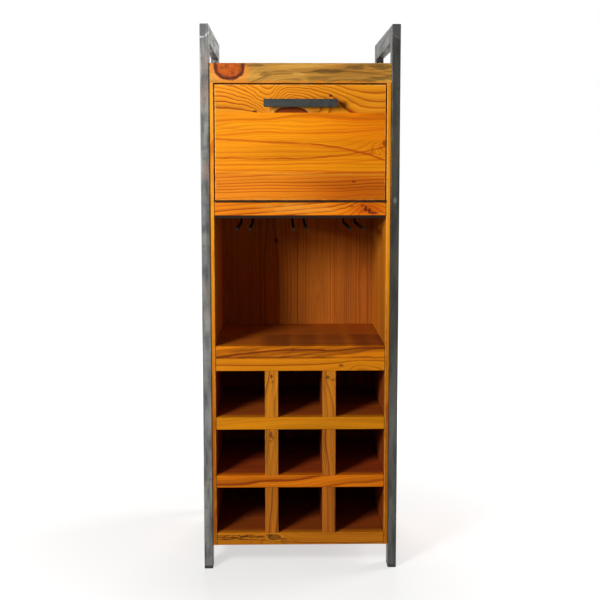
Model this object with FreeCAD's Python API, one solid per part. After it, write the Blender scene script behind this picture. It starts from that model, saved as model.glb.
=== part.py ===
import FreeCAD, Part
import math
import os

from FreeCAD import Vector

# Wine cabinet: a timber carcass held between two welded steel tube frames, in millimetres.
# The origin is on the floor under the middle of the cabinet, +X right, +Y to the back, +Z up.

# Steel frames
overall_width = 430.0
frame_depth = 416.0
tube_width = 19.0
tube_depth = 38.0
tube_wall = 2.0
tube_corner = 2.0
post_proud = 4.0
rail_gap = 44.0
foot_height = 7.0
plug_height = 15.0
plug_clearance = 0.2

# Lugs welded to the posts
lug_thick = 3.0
lug_size = 30.0
lug_corner = 6.0
lug_inset = 80.0

# Carcass boards
inner_depth = 328.0
ground_clearance = 52.5
side_thick = 25.0
shelf_thick = 27.5
counter_thick = 27.5
flap_shelf_thick = 29.5
top_thick = 42.5
cell_height = 104.5
glass_bay_height = 288.0
flap_bay_height = 254.5
edge_round = 1.5

# Dividers in stopped housings
divider_thick = 29.5
side_cell_width = 108.5
housing_depth = 5.0
housing_stop = 14.0
housing_clearance = 0.15

# Loose tenons
tenon_thick = 8.0
tenon_width = 24.0
tenon_length = 38.0
tenon_end_wood = 8.0
tenon_inset = 50.0
tenon_clearance = 0.05
tenon_end_gap = 1.0

# Back boards
back_thick = 9.0
back_board_count = 4
tongue_length = 5.0
tongue_thick = 3.0
groove_clearance = 0.2
back_bevel = 2.0

# Drop flap
flap_thick = 22.0
flap_side_gap = 2.5
flap_top_gap = 3.2
flap_top_plank = 60.0
flap_bottom_plank = 62.0

# Flap handle
handle_length = 158.0
handle_height = 17.0
handle_thick = 8.0
handle_chamfer = 0.8
handle_drop = 40.5
handle_standoff = 22.0
handle_leg_size = 10.0
handle_leg_spacing = 126.0
handle_screw_diameter = 5.0
handle_screw_grip = 14.0
handle_screw_head = 9.0
handle_screw_head_height = 3.0
handle_screw_clearance = 0.25

# Piano hinge
hinge_gap = 3.0
knuckle_radius = 2.5
knuckle_count = 9
knuckle_gap = 0.3
knuckle_setoff = 0.2
leaf_thick = 1.0
leaf_depth = 12.0
hinge_pin_radius = 1.2
hinge_pin_clearance = 0.05

# Sliding flap stays
flap_opening = 90.0
stay_pivot_set_in = 9.3
stay_pivot_height = 125.5
guide_angle = 60.0
stay_arm_width = 12.0
stay_arm_thick = 3.0
stay_fold = 6.0
stay_clearance = 0.3
guide_length = 30.0
guide_height = 20.0
guide_thick = 11.0
guide_bevel = 1.5
guide_web = 0.6
guide_plate_size = 30.0
guide_plate_corner = 5.0
guide_plate_thick = 2.0
guide_plate_gap = 0.5
guide_pin_diameter = 6.0
stay_rivet_diameter = 5.0
stay_rivet_head = 9.0
stay_rivet_head_height = 1.5
running_clearance = 0.05
bracket_thick = 2.0
bracket_width = 26.0
bracket_height = 24.0
bracket_ear_height = 16.0
bracket_ear_gap = 0.8

# Magnetic catch
catch_width = 40.0
catch_depth = 14.0
catch_height = 16.0
catch_bevel = 1.5
catch_gap = 0.3
strike_width = 36.0
strike_height = 12.0
strike_thick = 1.5
strike_inset = 2.0

# Hanging rack
rack_channels = 3
rack_side_gap = 2.0
rack_front_gap = 4.0
rack_rear_gap = 11.0
rack_sheet = 2.0
rack_lip = 6.0
rack_bar_size = 5.0
rack_bar_drop = 31.0
rack_bar_spread = 28.0
rack_bar_bend = 16.0
rack_bar_front = 10.0
rack_bar_rear = 30.0

# Heights, from the floor up: the underside of each board
bottom_board_z = ground_clearance
lower_shelf_z = bottom_board_z + shelf_thick + cell_height
upper_shelf_z = lower_shelf_z + shelf_thick + cell_height
rack_top_z = upper_shelf_z + shelf_thick + cell_height
counter_z = rack_top_z + shelf_thick
flap_shelf_z = counter_z + counter_thick + glass_bay_height
flap_bay_z = flap_shelf_z + flap_shelf_thick
top_board_z = flap_bay_z + flap_bay_height
rail_z = top_board_z + top_thick + rail_gap
overall_height = rail_z + tube_depth

# Widths, from the middle out
post_outer_x = overall_width / 2
post_inner_x = post_outer_x - tube_width
side_outer_x = post_outer_x - lug_thick
inner_x = side_outer_x - side_thick
divider_x = inner_x - side_cell_width - divider_thick / 2

# Depths, from the front back. The handle stands out in front of the posts, so the frames stand
# half of that behind the middle, and the posts stand just in front of the boards between them.
frame_middle_y = (handle_standoff + handle_thick - post_proud) / 2
frame_front_y = frame_middle_y - frame_depth / 2
frame_back_y = frame_middle_y + frame_depth / 2
post_back_y = frame_front_y + tube_depth
side_back_y = frame_back_y - tube_depth
front_y = frame_front_y + post_proud
back_inner_y = front_y + inner_depth
back_y = back_inner_y + back_thick

# The flap's faces and the hinge axis, which lies just in front of the carcass
flap_x = inner_x - flap_side_gap
flap_inner_y = front_y + flap_thick
flap_bottom_z = flap_bay_z + hinge_gap
flap_top_z = top_board_z - flap_top_gap
handle_z = flap_top_z - handle_drop
hinge_y = front_y - knuckle_setoff - knuckle_radius
hinge_z = flap_bay_z + hinge_gap / 2

# The stay's pivot on the flap and its guide on the side board lie on one circle about the hinge axis,
# so the arm and the guide turn by exactly half the flap's angle.
pivot_y = flap_inner_y + stay_pivot_set_in
pivot_z = hinge_z + stay_pivot_height
stay_radius = math.hypot(pivot_y - hinge_y, pivot_z - hinge_z)
pivot_angle = math.degrees(math.atan2(pivot_z - hinge_z, pivot_y - hinge_y))
guide_y = hinge_y + stay_radius * math.cos(math.radians(guide_angle))
guide_z = hinge_z + stay_radius * math.sin(math.radians(guide_angle))
arm_angle = math.degrees(math.atan2(guide_z - pivot_z, guide_y - pivot_y))
open_half_angle = math.radians(pivot_angle + flap_opening - guide_angle) / 2
arm_reach = 2 * stay_radius * math.sin(open_half_angle)

# The stay's layers, from the side board inwards
guide_outer_x = inner_x - guide_plate_thick - guide_plate_gap
guide_inner_x = guide_outer_x - guide_thick
arm_mid_x = (guide_outer_x + guide_inner_x) / 2
arm_outer_x = arm_mid_x + stay_arm_thick / 2
arm_inner_x = arm_mid_x - stay_arm_thick / 2
ear_inner_x = arm_outer_x + bracket_ear_gap
ear_outer_x = ear_inner_x + bracket_thick

# Directions and the span in which two places count as one
along_x = Vector(1, 0, 0)
along_y = Vector(0, 1, 0)
along_z = Vector(0, 0, 1)
centre = Vector(0, 0, 0)
frame_middle = Vector(0, frame_middle_y, 0)
same_place = 1e-6

nodes = {}


def block(x_span, y_span, z_span):
    """A box between three pairs of limits."""
    low = Vector(x_span[0], y_span[0], z_span[0])
    return Part.makeBox(x_span[1] - x_span[0], y_span[1] - y_span[0], z_span[1] - z_span[0], low)


def rod(start, end, radius):
    """A round bar from one point to another."""
    return Part.makeCylinder(radius, (end - start).Length, start, end - start)


def prism(points, push):
    """A flat outline, given by its corners, pushed out along a vector."""
    return Part.Face(Part.makePolygon(points + points[:1])).extrude(push)


def turned(outline, start, direction):
    """A turned piece: (distance, radius) points revolved about the line that leaves start."""
    points = [Vector(radius, 0, distance) for distance, radius in outline]
    solid = Part.Face(Part.makePolygon(points + points[:1])).revolve(centre, along_z, 360)
    solid.Placement = FreeCAD.Placement(start, FreeCAD.Rotation(along_z, direction))
    return solid


def mirrored(shape, direction=along_x):
    """The same piece on the other side of the middle of the frames."""
    return shape.mirror(frame_middle, direction)


def lies_at(edge, axis, place):
    """Whether a whole edge lies at one place along an axis."""
    return all(abs(getattr(vertex.Point, axis) - place) < same_place for vertex in edge.Vertexes)


def runs_along(edge, direction):
    """Whether a straight edge runs along a direction."""
    run = edge.Vertexes[-1].Point - edge.Vertexes[0].Point
    return run.Length > same_place and run.cross(direction).Length < same_place


def softened(shape, chosen, radius=edge_round):
    """A piece with the chosen edges rounded."""
    return shape.makeFillet(radius, [edge for edge in shape.Edges if chosen(edge)])


def bevelled(shape, chosen, size):
    """A piece with the chosen edges cut to a flat bevel."""
    return shape.makeChamfer(size, [edge for edge in shape.Edges if chosen(edge)])


def group(pieces):
    """Several equal pieces kept as separate solids of one node."""
    return Part.makeCompound(pieces)


def add_pair(name, right_hand):
    """A right-hand piece and its mirror image on the left."""
    nodes["left_" + name] = mirrored(right_hand)
    nodes["right_" + name] = right_hand


def all_four(piece):
    """One piece repeated at the four corners of the cabinet."""
    front_pair = [piece, mirrored(piece)]
    return front_pair + [mirrored(copy, along_y) for copy in front_pair]


def tube(x_span, y_span, z_span, direction):
    """A rectangular tube with rounded outer corners, open at both ends of its direction."""
    outer = block(x_span, y_span, z_span)
    outer = softened(outer, lambda edge: runs_along(edge, direction), tube_corner)
    inset = [0 if axis else tube_wall for axis in direction]
    hollow = block(
        (x_span[0] + inset[0], x_span[1] - inset[0]),
        (y_span[0] + inset[1], y_span[1] - inset[1]),
        (z_span[0] + inset[2], z_span[1] - inset[2]),
    )
    return outer.cut(hollow)


def mitre_corner(inner_corner):
    """The wedge that a 45 degree mitre takes off at the top front corner of a side frame."""
    corners = [
        Vector(post_inner_x, frame_front_y, overall_height),
        Vector(post_inner_x, *inner_corner),
        Vector(post_inner_x, post_back_y, rail_z),
    ]
    return prism(corners, along_x * tube_width)


def front_post():
    """The right front post, with its top end mitred to meet the rail."""
    post = tube(
        (post_inner_x, post_outer_x), (frame_front_y, post_back_y), (foot_height, overall_height), along_z
    )
    return post.cut(mitre_corner((post_back_y, overall_height)))


def top_rail():
    """The right top rail, mitred at both ends."""
    rail = tube(
        (post_inner_x, post_outer_x), (frame_front_y, frame_back_y), (rail_z, overall_height), along_y
    )
    wedge = mitre_corner((frame_front_y, rail_z))
    return rail.cut(wedge).cut(mirrored(wedge, along_y))


def foot_cap():
    """The right front foot: a block as wide as the tube, with bevelled corners and a plug up inside it."""
    base = block((post_inner_x, post_outer_x), (frame_front_y, post_back_y), (0, foot_height))
    base = bevelled(base, lambda edge: runs_along(edge, along_z), tube_corner)
    inset = tube_wall + plug_clearance
    plug = block(
        (post_inner_x + inset, post_outer_x - inset),
        (frame_front_y + inset, post_back_y - inset),
        (foot_height, foot_height + plug_height),
    )
    return base.fuse(plug).removeSplitter()


def lug_heights():
    """The heights of the three lugs on each post."""
    low = bottom_board_z + lug_inset
    high = top_board_z - lug_inset
    return [low, (low + high) / 2, high]


def front_lug(height):
    """A lug welded to the back of the right front post, flat on the side board, with clipped corners."""
    far_y = post_back_y + lug_size
    half = lug_size / 2
    outline = [
        (post_back_y, -half),
        (far_y - lug_corner, -half),
        (far_y, lug_corner - half),
        (far_y, half - lug_corner),
        (far_y - lug_corner, half),
        (post_back_y, half),
    ]
    return prism([Vector(side_outer_x, y, height + z) for y, z in outline], along_x * lug_thick)


def shelf_tenon(y, z, clearance=0.0, end_gap=0.0):
    """A loose tenon between a shelf's right end and the side board, or its mortise."""
    side_depth = side_thick - tenon_end_wood + end_gap
    shelf_depth = tenon_length - side_thick + tenon_end_wood + end_gap
    half_width = tenon_width / 2 + clearance
    half_thick = tenon_thick / 2 + clearance
    return block(
        (inner_x - shelf_depth, inner_x + side_depth),
        (y - half_width, y + half_width),
        (z - half_thick, z + half_thick),
    )


def top_tenon(clearance=0.0, end_gap=0.0):
    """The loose tenon between the right side board's front end and the top board, or its mortise."""
    middle_x = (inner_x + side_outer_x) / 2
    middle_y = post_back_y + tenon_inset
    half_thick = tenon_thick / 2 + clearance
    half_width = tenon_width / 2 + clearance
    reach = tenon_length / 2 + end_gap
    return block(
        (middle_x - half_thick, middle_x + half_thick),
        (middle_y - half_width, middle_y + half_width),
        (top_board_z - reach, top_board_z + reach),
    )


def at_front_or_back(edge):
    """Whether an edge lies on the front or the back face of the boards that run past the posts."""
    return lies_at(edge, "y", front_y) or lies_at(edge, "y", side_back_y)


def round_the_post():
    """The plan of a board's right edge, from the front back, with the rebate that lets the post in."""
    return [
        (post_inner_x, front_y),
        (post_inner_x, post_back_y),
        (side_outer_x, post_back_y),
        (side_outer_x, side_back_y),
    ]


def side_board():
    """The right side board, rebated along its front edge, with the upright edges that show rounded."""
    plan = round_the_post() + [(inner_x, side_back_y), (inner_x, front_y)]
    foot = [Vector(x, y, bottom_board_z) for x, y in plan]
    board = prism(foot, along_z * (top_board_z - bottom_board_z))
    return softened(board, lambda edge: runs_along(edge, along_z) and at_front_or_back(edge))


def top_board():
    """The top board, notched round both front posts, with its upper and front edges rounded."""
    right_edge = round_the_post()
    plan = right_edge + [(-x, y) for x, y in reversed(right_edge)]
    board = prism([Vector(x, y, top_board_z) for x, y in plan], along_z * top_thick)

    def shows(edge):
        over = lies_at(edge, "z", top_board_z + top_thick)
        at_side = lies_at(edge, "x", side_outer_x) or lies_at(edge, "x", -side_outer_x)
        return over and (at_side or at_front_or_back(edge))

    board = softened(board, shows)
    return softened(board, lambda edge: lies_at(edge, "z", top_board_z) and lies_at(edge, "y", front_y))


def shelf(under, thick):
    """A plain board between the side boards, with its front edges eased."""
    board = block((-inner_x, inner_x), (front_y, back_inner_y), (under, under + thick))
    return softened(board, lambda edge: runs_along(edge, along_x) and lies_at(edge, "y", front_y))


def housing(x, low, high):
    """The stopped groove that takes a divider's end."""
    half = divider_thick / 2 + housing_clearance
    stop_y = front_y + housing_stop - housing_clearance
    return block((x - half, x + half), (stop_y, back_inner_y), (low, high))


def divider(x, floor, ceiling):
    """A divider whose ends drop into the boards above and below, behind the stopped front."""
    reach = housing_depth - housing_clearance
    stop_y = front_y + housing_stop
    side_view = [
        (front_y, floor),
        (stop_y, floor),
        (stop_y, floor - reach),
        (back_inner_y, floor - reach),
        (back_inner_y, ceiling + reach),
        (stop_y, ceiling + reach),
        (stop_y, ceiling),
        (front_y, ceiling),
    ]
    left_face = [Vector(x - divider_thick / 2, y, z) for y, z in side_view]
    board = prism(left_face, along_x * divider_thick)
    return softened(board, lambda edge: runs_along(edge, along_z) and lies_at(edge, "y", front_y))


def back_board(left, right, has_groove, has_tongue):
    """One upright board of the back, with bevelled joints that show inside the cabinet."""
    middle = (back_inner_y + back_y) / 2
    tongue_half = tongue_thick / 2
    groove_half = tongue_half + groove_clearance
    groove_end = left + tongue_length + groove_clearance
    outline = [(left, back_y)]
    if has_groove:
        outline += [
            (left, middle + groove_half),
            (groove_end, middle + groove_half),
            (groove_end, middle - groove_half),
            (left, middle - groove_half),
            (left, back_inner_y + back_bevel),
            (left + back_bevel, back_inner_y),
        ]
    else:
        outline += [(left, back_inner_y)]
    if has_tongue:
        outline += [
            (right - back_bevel, back_inner_y),
            (right, back_inner_y + back_bevel),
            (right, middle - tongue_half),
            (right + tongue_length, middle - tongue_half),
            (right + tongue_length, middle + tongue_half),
            (right, middle + tongue_half),
        ]
    else:
        outline += [(right, back_inner_y)]
    outline += [(right, back_y)]
    foot = [Vector(x, y, bottom_board_z) for x, y in outline]
    return prism(foot, along_z * (top_board_z - bottom_board_z))


def handle_screw(clearance=0.0):
    """The right handle screw, driven from inside the flap, or its hole."""
    radius = handle_screw_diameter / 2 + clearance
    reach = handle_screw_head_height + flap_thick + handle_screw_grip
    head = handle_screw_head / 2 + clearance
    outline = [
        (0, 0),
        (0, head),
        (handle_screw_head_height, head),
        (handle_screw_head_height, radius),
        (reach, radius),
        (reach, 0),
    ]
    start = Vector(handle_leg_spacing / 2, flap_inner_y + handle_screw_head_height, handle_z)
    return turned(outline, start, -along_y)


def handle_leg():
    """The right leg between the flap and the handle bar, a square stub bored for its screw."""
    x = handle_leg_spacing / 2
    half = handle_leg_size / 2
    leg = block(
        (x - half, x + half),
        (front_y - handle_standoff, front_y),
        (handle_z - half, handle_z + half),
    )
    return leg.cut(handle_screw(running_clearance))


def handle_bar():
    """The flat bar of the handle, with all its edges broken."""
    bar_back_y = front_y - handle_standoff
    bar = block(
        (-handle_length / 2, handle_length / 2),
        (bar_back_y - handle_thick, bar_back_y),
        (handle_z - handle_height / 2, handle_z + handle_height / 2),
    )
    return bar.makeChamfer(handle_chamfer, bar.Edges)


def flap_plank(low, high, eased_ends):
    """One plank of the flap. Only the edges on the flap's own outline are eased."""
    plank = block((-flap_x, flap_x), (front_y, flap_inner_y), (low, high))

    def on_outline(edge):
        at_end = any(lies_at(edge, "z", end) for end in eased_ends)
        return lies_at(edge, "y", front_y) and (runs_along(edge, along_z) or at_end)

    plank = softened(plank, on_outline)
    hole = handle_screw(handle_screw_clearance)
    return plank.cut(hole).cut(mirrored(hole))


def knuckle_spans(first):
    """The spans along the hinge of every other knuckle, from the first one given."""
    pitch = 2 * flap_x / knuckle_count
    return [(-flap_x + pitch * k, -flap_x + pitch * (k + 1)) for k in range(first, knuckle_count, 2)]


def cross_rod(half_length, y, z, radius):
    """A round bar across the cabinet, as long on the left of the middle as on the right."""
    return rod(Vector(-half_length, y, z), Vector(half_length, y, z), radius)


def hinge_leaf(plate_z, own_first, other_first):
    """A hinge leaf with its own knuckles, cut back round those of the other leaf."""
    leaf = block((-flap_x, flap_x), (hinge_y, front_y + leaf_depth), (plate_z, plate_z + leaf_thick))
    reach = knuckle_radius + knuckle_setoff
    slack = knuckle_gap / 2
    for low, high in knuckle_spans(other_first):
        notch_width = (low - slack, high + slack)
        notch = block(notch_width, (hinge_y - reach, hinge_y + reach), (hinge_z - reach, hinge_z + reach))
        leaf = leaf.cut(notch)
    for low, high in knuckle_spans(own_first):
        start = Vector(low + slack, hinge_y, hinge_z)
        leaf = leaf.fuse(rod(start, Vector(high - slack, hinge_y, hinge_z), knuckle_radius))
    bore = cross_rod(flap_x, hinge_y, hinge_z, hinge_pin_radius + hinge_pin_clearance)
    return leaf.cut(bore).removeSplitter()


def stay_frame(shape, y, z):
    """Turns a piece drawn along +Y to lie along the closed stay arm, at a point beside the right wall."""
    shape.rotate(centre, along_x, arm_angle)
    shape.translate(Vector(0, y, z))
    return shape


def stay_arm():
    """The right stay arm: a flat bar, round at its pivot, with its tail folded over as a stop."""
    stop_reach = arm_reach + guide_length / 2 + stay_clearance
    end_reach = stop_reach + stay_arm_thick
    half = stay_arm_width / 2
    bar = block((arm_inner_x, arm_outer_x), (0, end_reach), (-half, half))
    bar = bar.fuse(rod(Vector(arm_inner_x, 0, 0), Vector(arm_outer_x, 0, 0), half))
    bar = bar.fuse(block((arm_inner_x - stay_fold, arm_inner_x), (stop_reach, end_reach), (-half, half)))
    hole_radius = stay_rivet_diameter / 2 + running_clearance
    hole = rod(Vector(arm_inner_x, 0, 0), Vector(arm_outer_x, 0, 0), hole_radius)
    return stay_frame(bar.removeSplitter().cut(hole), pivot_y, pivot_z)


def stay_guide():
    """The right swivelling guide: a block with a slot for the arm and a blind hole for its pin."""
    half_length = guide_length / 2
    half_height = guide_height / 2
    body = block((guide_inner_x, guide_outer_x), (-half_length, half_length), (-half_height, half_height))
    body = bevelled(body, lambda edge: runs_along(edge, along_x), guide_bevel)
    slot_half = stay_arm_width / 2 + stay_clearance
    slot = block(
        (arm_inner_x - stay_clearance, arm_outer_x + stay_clearance),
        (-guide_length, guide_length),
        (-slot_half, slot_half),
    )
    hole_end_x = arm_outer_x + stay_clearance + guide_web
    hole_radius = guide_pin_diameter / 2 + running_clearance
    hole = rod(Vector(hole_end_x, 0, 0), Vector(guide_outer_x, 0, 0), hole_radius)
    return stay_frame(body.cut(slot).cut(hole), guide_y, guide_z)


def guide_plate():
    """The right guide plate on the side board, with the pin that carries the guide."""
    half = guide_plate_size / 2
    plate_x = inner_x - guide_plate_thick
    plate = block((plate_x, inner_x), (guide_y - half, guide_y + half), (guide_z - half, guide_z + half))
    plate = bevelled(plate, lambda edge: runs_along(edge, along_x), guide_plate_corner)
    pin_end_x = arm_outer_x + stay_clearance + guide_web + stay_clearance
    pin = rod(Vector(pin_end_x, guide_y, guide_z), Vector(plate_x, guide_y, guide_z), guide_pin_diameter / 2)
    return plate.fuse(pin).removeSplitter()


def stay_bracket():
    """The right flap bracket: a base plate on the flap's inner face and an ear for the stay's rivet."""
    half = bracket_height / 2
    base = block(
        (ear_outer_x - bracket_width, ear_outer_x),
        (flap_inner_y, flap_inner_y + bracket_thick),
        (pivot_z - half, pivot_z + half),
    )
    ear_half = bracket_ear_height / 2
    ear = block(
        (ear_inner_x, ear_outer_x),
        (flap_inner_y, pivot_y),
        (pivot_z - ear_half, pivot_z + ear_half),
    )
    pivot_start = Vector(ear_inner_x, pivot_y, pivot_z)
    pivot_end = Vector(ear_outer_x, pivot_y, pivot_z)
    tip = rod(pivot_start, pivot_end, ear_half)
    hole = rod(pivot_start, pivot_end, stay_rivet_diameter / 2 + running_clearance)
    return base.fuse(ear).fuse(tip).removeSplitter().cut(hole)


def stay_rivet():
    """The right stay rivet, with a head inside the arm and its tail closed flush with the bracket's ear."""
    shank = stay_rivet_diameter / 2
    head_end = stay_rivet_head_height
    ear_end = head_end + stay_clearance + stay_arm_thick + bracket_ear_gap + bracket_thick
    outline = [
        (0, 0),
        (0, stay_rivet_head / 2),
        (head_end, stay_rivet_head / 2),
        (head_end, shank),
        (ear_end, shank),
        (ear_end, 0),
    ]
    start = Vector(arm_inner_x - stay_clearance - stay_rivet_head_height, pivot_y, pivot_z)
    return turned(outline, start, along_x)


def catch_magnet():
    """The magnet housing under the top board, just behind the closed flap's strike plate."""
    near_y = flap_inner_y + strike_thick + catch_gap
    case = block(
        (-catch_width / 2, catch_width / 2),
        (near_y, near_y + catch_depth),
        (top_board_z - catch_height, top_board_z),
    )
    return bevelled(case, lambda edge: runs_along(edge, along_z), catch_bevel)


def catch_plate():
    """The strike plate on the flap's inner face."""
    high = flap_top_z - strike_inset
    plate = block(
        (-strike_width / 2, strike_width / 2),
        (flap_inner_y, flap_inner_y + strike_thick),
        (high - strike_height, high),
    )
    return bevelled(plate, lambda edge: runs_along(edge, along_y), catch_bevel)


def rack_plate():
    """The folded sheet under the flap shelf that carries the bars, with a lip along its front."""
    near_y = front_y + rack_front_gap
    profile = [
        (near_y, flap_shelf_z),
        (near_y, flap_shelf_z - rack_lip),
        (near_y + rack_sheet, flap_shelf_z - rack_lip),
        (near_y + rack_sheet, flap_shelf_z - rack_sheet),
        (back_inner_y - rack_rear_gap, flap_shelf_z - rack_sheet),
        (back_inner_y - rack_rear_gap, flap_shelf_z),
    ]
    half = inner_x - rack_side_gap
    return prism([Vector(-half, y, z) for y, z in profile], along_x * 2 * half)


def rack_bar(x):
    """A bent square bar: up to the sheet at the back, free at the front, where its channel opens."""
    half = rack_bar_size / 2
    run_z = flap_shelf_z - rack_bar_drop
    root_z = flap_shelf_z - rack_sheet
    tip_y = front_y + rack_bar_front
    rise_y = back_inner_y - rack_bar_rear
    bend_y = rise_y - rack_bar_bend
    bend_z = run_z + rack_bar_bend
    face_x = x - half

    def bend(radius):
        middle = radius * math.sin(math.radians(45))
        start = Vector(face_x, bend_y, bend_z - radius)
        end = Vector(face_x, bend_y + radius, bend_z)
        return Part.Arc(start, Vector(face_x, bend_y + middle, bend_z - middle), end).toShape()

    outer_bend = bend(rack_bar_bend + half)
    inner_bend = bend(rack_bar_bend - half)
    under_tip = Vector(face_x, tip_y, run_z - half)
    over_tip = Vector(face_x, tip_y, run_z + half)
    outer_root = Vector(face_x, rise_y + half, root_z)
    inner_root = Vector(face_x, rise_y - half, root_z)
    outline = Part.Wire([
        Part.LineSegment(under_tip, outer_bend.firstVertex().Point).toShape(),
        outer_bend,
        Part.LineSegment(outer_bend.lastVertex().Point, outer_root).toShape(),
        Part.LineSegment(outer_root, inner_root).toShape(),
        Part.LineSegment(inner_root, inner_bend.lastVertex().Point).toShape(),
        inner_bend,
        Part.LineSegment(inner_bend.firstVertex().Point, over_tip).toShape(),
        Part.LineSegment(over_tip, under_tip).toShape(),
    ])
    return Part.Face(outline).extrude(along_x * rack_bar_size)


def rack_bar_places():
    """The bars' places across the cabinet, a pair for each channel."""
    pitch = 2 * inner_x / rack_channels
    middles = [-inner_x + pitch * (k + 0.5) for k in range(rack_channels)]
    return [middle + side * rack_bar_spread / 2 for middle in middles for side in (-1, 1)]


def build_frames():
    """The two steel side frames, their feet and the lugs that carry the carcass."""
    post = front_post()
    add_pair("front_post", post)
    add_pair("rear_post", mirrored(post, along_y))
    add_pair("top_rail", top_rail())
    nodes["foot_caps"] = group(all_four(foot_cap()))
    lugs = [front_lug(height) for height in lug_heights()]
    add_pair("frame_lugs", group(lugs + [mirrored(lug, along_y) for lug in lugs]))


def build_carcass():
    """The boards, dividers, loose tenons and back of the carcass."""
    boards = {
        "flap_shelf": (flap_shelf_z, flap_shelf_thick),
        "counter_board": (counter_z, counter_thick),
        "rack_top_board": (rack_top_z, shelf_thick),
        "upper_bottle_shelf": (upper_shelf_z, shelf_thick),
        "lower_bottle_shelf": (lower_shelf_z, shelf_thick),
        "bottom_board": (bottom_board_z, shelf_thick),
    }
    tenon_places = [
        (y, under + thick / 2)
        for under, thick in boards.values()
        for y in (post_back_y + tenon_inset, back_inner_y - tenon_inset)
    ]
    tenons = [shelf_tenon(y, z) for y, z in tenon_places]
    nodes["shelf_tenons"] = group(tenons + [mirrored(tenon) for tenon in tenons])
    nodes["top_tenons"] = group(all_four(top_tenon()))
    mortises = [shelf_tenon(y, z, tenon_clearance, tenon_end_gap) for y, z in tenon_places]
    top_mortise = top_tenon(tenon_clearance, tenon_end_gap)

    side = side_board()
    for mortise in mortises + [top_mortise, mirrored(top_mortise, along_y)]:
        side = side.cut(mortise)
    add_pair("side_board", side)

    top = top_board()
    for mortise in all_four(top_mortise):
        top = top.cut(mortise)
    nodes["top_board"] = top

    rows = {
        "top_row": (upper_shelf_z + shelf_thick, rack_top_z),
        "middle_row": (lower_shelf_z + shelf_thick, upper_shelf_z),
        "bottom_row": (bottom_board_z + shelf_thick, lower_shelf_z),
    }
    housings = []
    for name, (floor, ceiling) in rows.items():
        for side_name, x in (("left", -divider_x), ("right", divider_x)):
            nodes[f"{name}_{side_name}_divider"] = divider(x, floor, ceiling)
            housings.append(housing(x, floor - housing_depth, floor))
            housings.append(housing(x, ceiling, ceiling + housing_depth))
    for name, (under, thick) in boards.items():
        board = shelf(under, thick)
        for cutter in mortises + [mirrored(mortise) for mortise in mortises] + housings:
            board = board.cut(cutter)
        nodes[name] = board

    pitch = 2 * inner_x / back_board_count
    for k in range(back_board_count):
        left = -inner_x + pitch * k
        nodes[f"back_board_{k + 1}"] = back_board(left, left + pitch, k > 0, k < back_board_count - 1)


def build_flap():
    """The drop flap with its handle, hinge, stays and catch."""
    lower_joint = flap_bottom_z + flap_bottom_plank
    upper_joint = flap_top_z - flap_top_plank
    nodes["flap_top_plank"] = flap_plank(upper_joint, flap_top_z, [flap_top_z])
    nodes["flap_middle_plank"] = flap_plank(lower_joint, upper_joint, [])
    nodes["flap_bottom_plank"] = flap_plank(flap_bottom_z, lower_joint, [flap_bottom_z])
    nodes["handle_bar"] = handle_bar()
    nodes["handle_legs"] = group([handle_leg(), mirrored(handle_leg())])
    nodes["handle_screws"] = group([handle_screw(), mirrored(handle_screw())])
    nodes["hinge_shelf_leaf"] = hinge_leaf(flap_bay_z, 0, 1)
    nodes["hinge_flap_leaf"] = hinge_leaf(flap_bottom_z - leaf_thick, 1, 0)
    nodes["hinge_pin"] = cross_rod(flap_x, hinge_y, hinge_z, hinge_pin_radius)
    add_pair("stay_bracket", stay_bracket())
    add_pair("stay_rivet", stay_rivet())
    add_pair("stay_arm", stay_arm())
    add_pair("stay_guide", stay_guide())
    add_pair("guide_plate", guide_plate())
    nodes["catch_magnet"] = catch_magnet()
    nodes["catch_plate"] = catch_plate()


def build_rack():
    """The hanging rack under the flap shelf."""
    nodes["rack_plate"] = rack_plate()
    nodes["rack_bars"] = group([rack_bar(x) for x in rack_bar_places()])


build_frames()
build_carcass()
build_flap()
build_rack()

os.makedirs("parts", exist_ok=True)
for node_name, node_shape in nodes.items():
    node_shape.exportStep(f"parts/{node_name}.step")
print(len(nodes), "nodes,", sum(len(shape.Solids) for shape in nodes.values()), "solids")
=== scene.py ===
# %% [markdown]
# # A wine cabinet, dressed in Blender
# The cabinet comes in as a finished CAD frame: oiled pine boards between two welded steel side frames, with
# a drop flap, an open bay and nine cells. The frame is fixed, so no board is moved here. This lesson sets up
# a camera and soft light, gives every board its own grain, and adds the small pieces that a maker adds last:
# screws, nails and welds.

# %% Load the frame
import math

import bmesh
import bpy
from mathutils import Matrix, Vector


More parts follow.
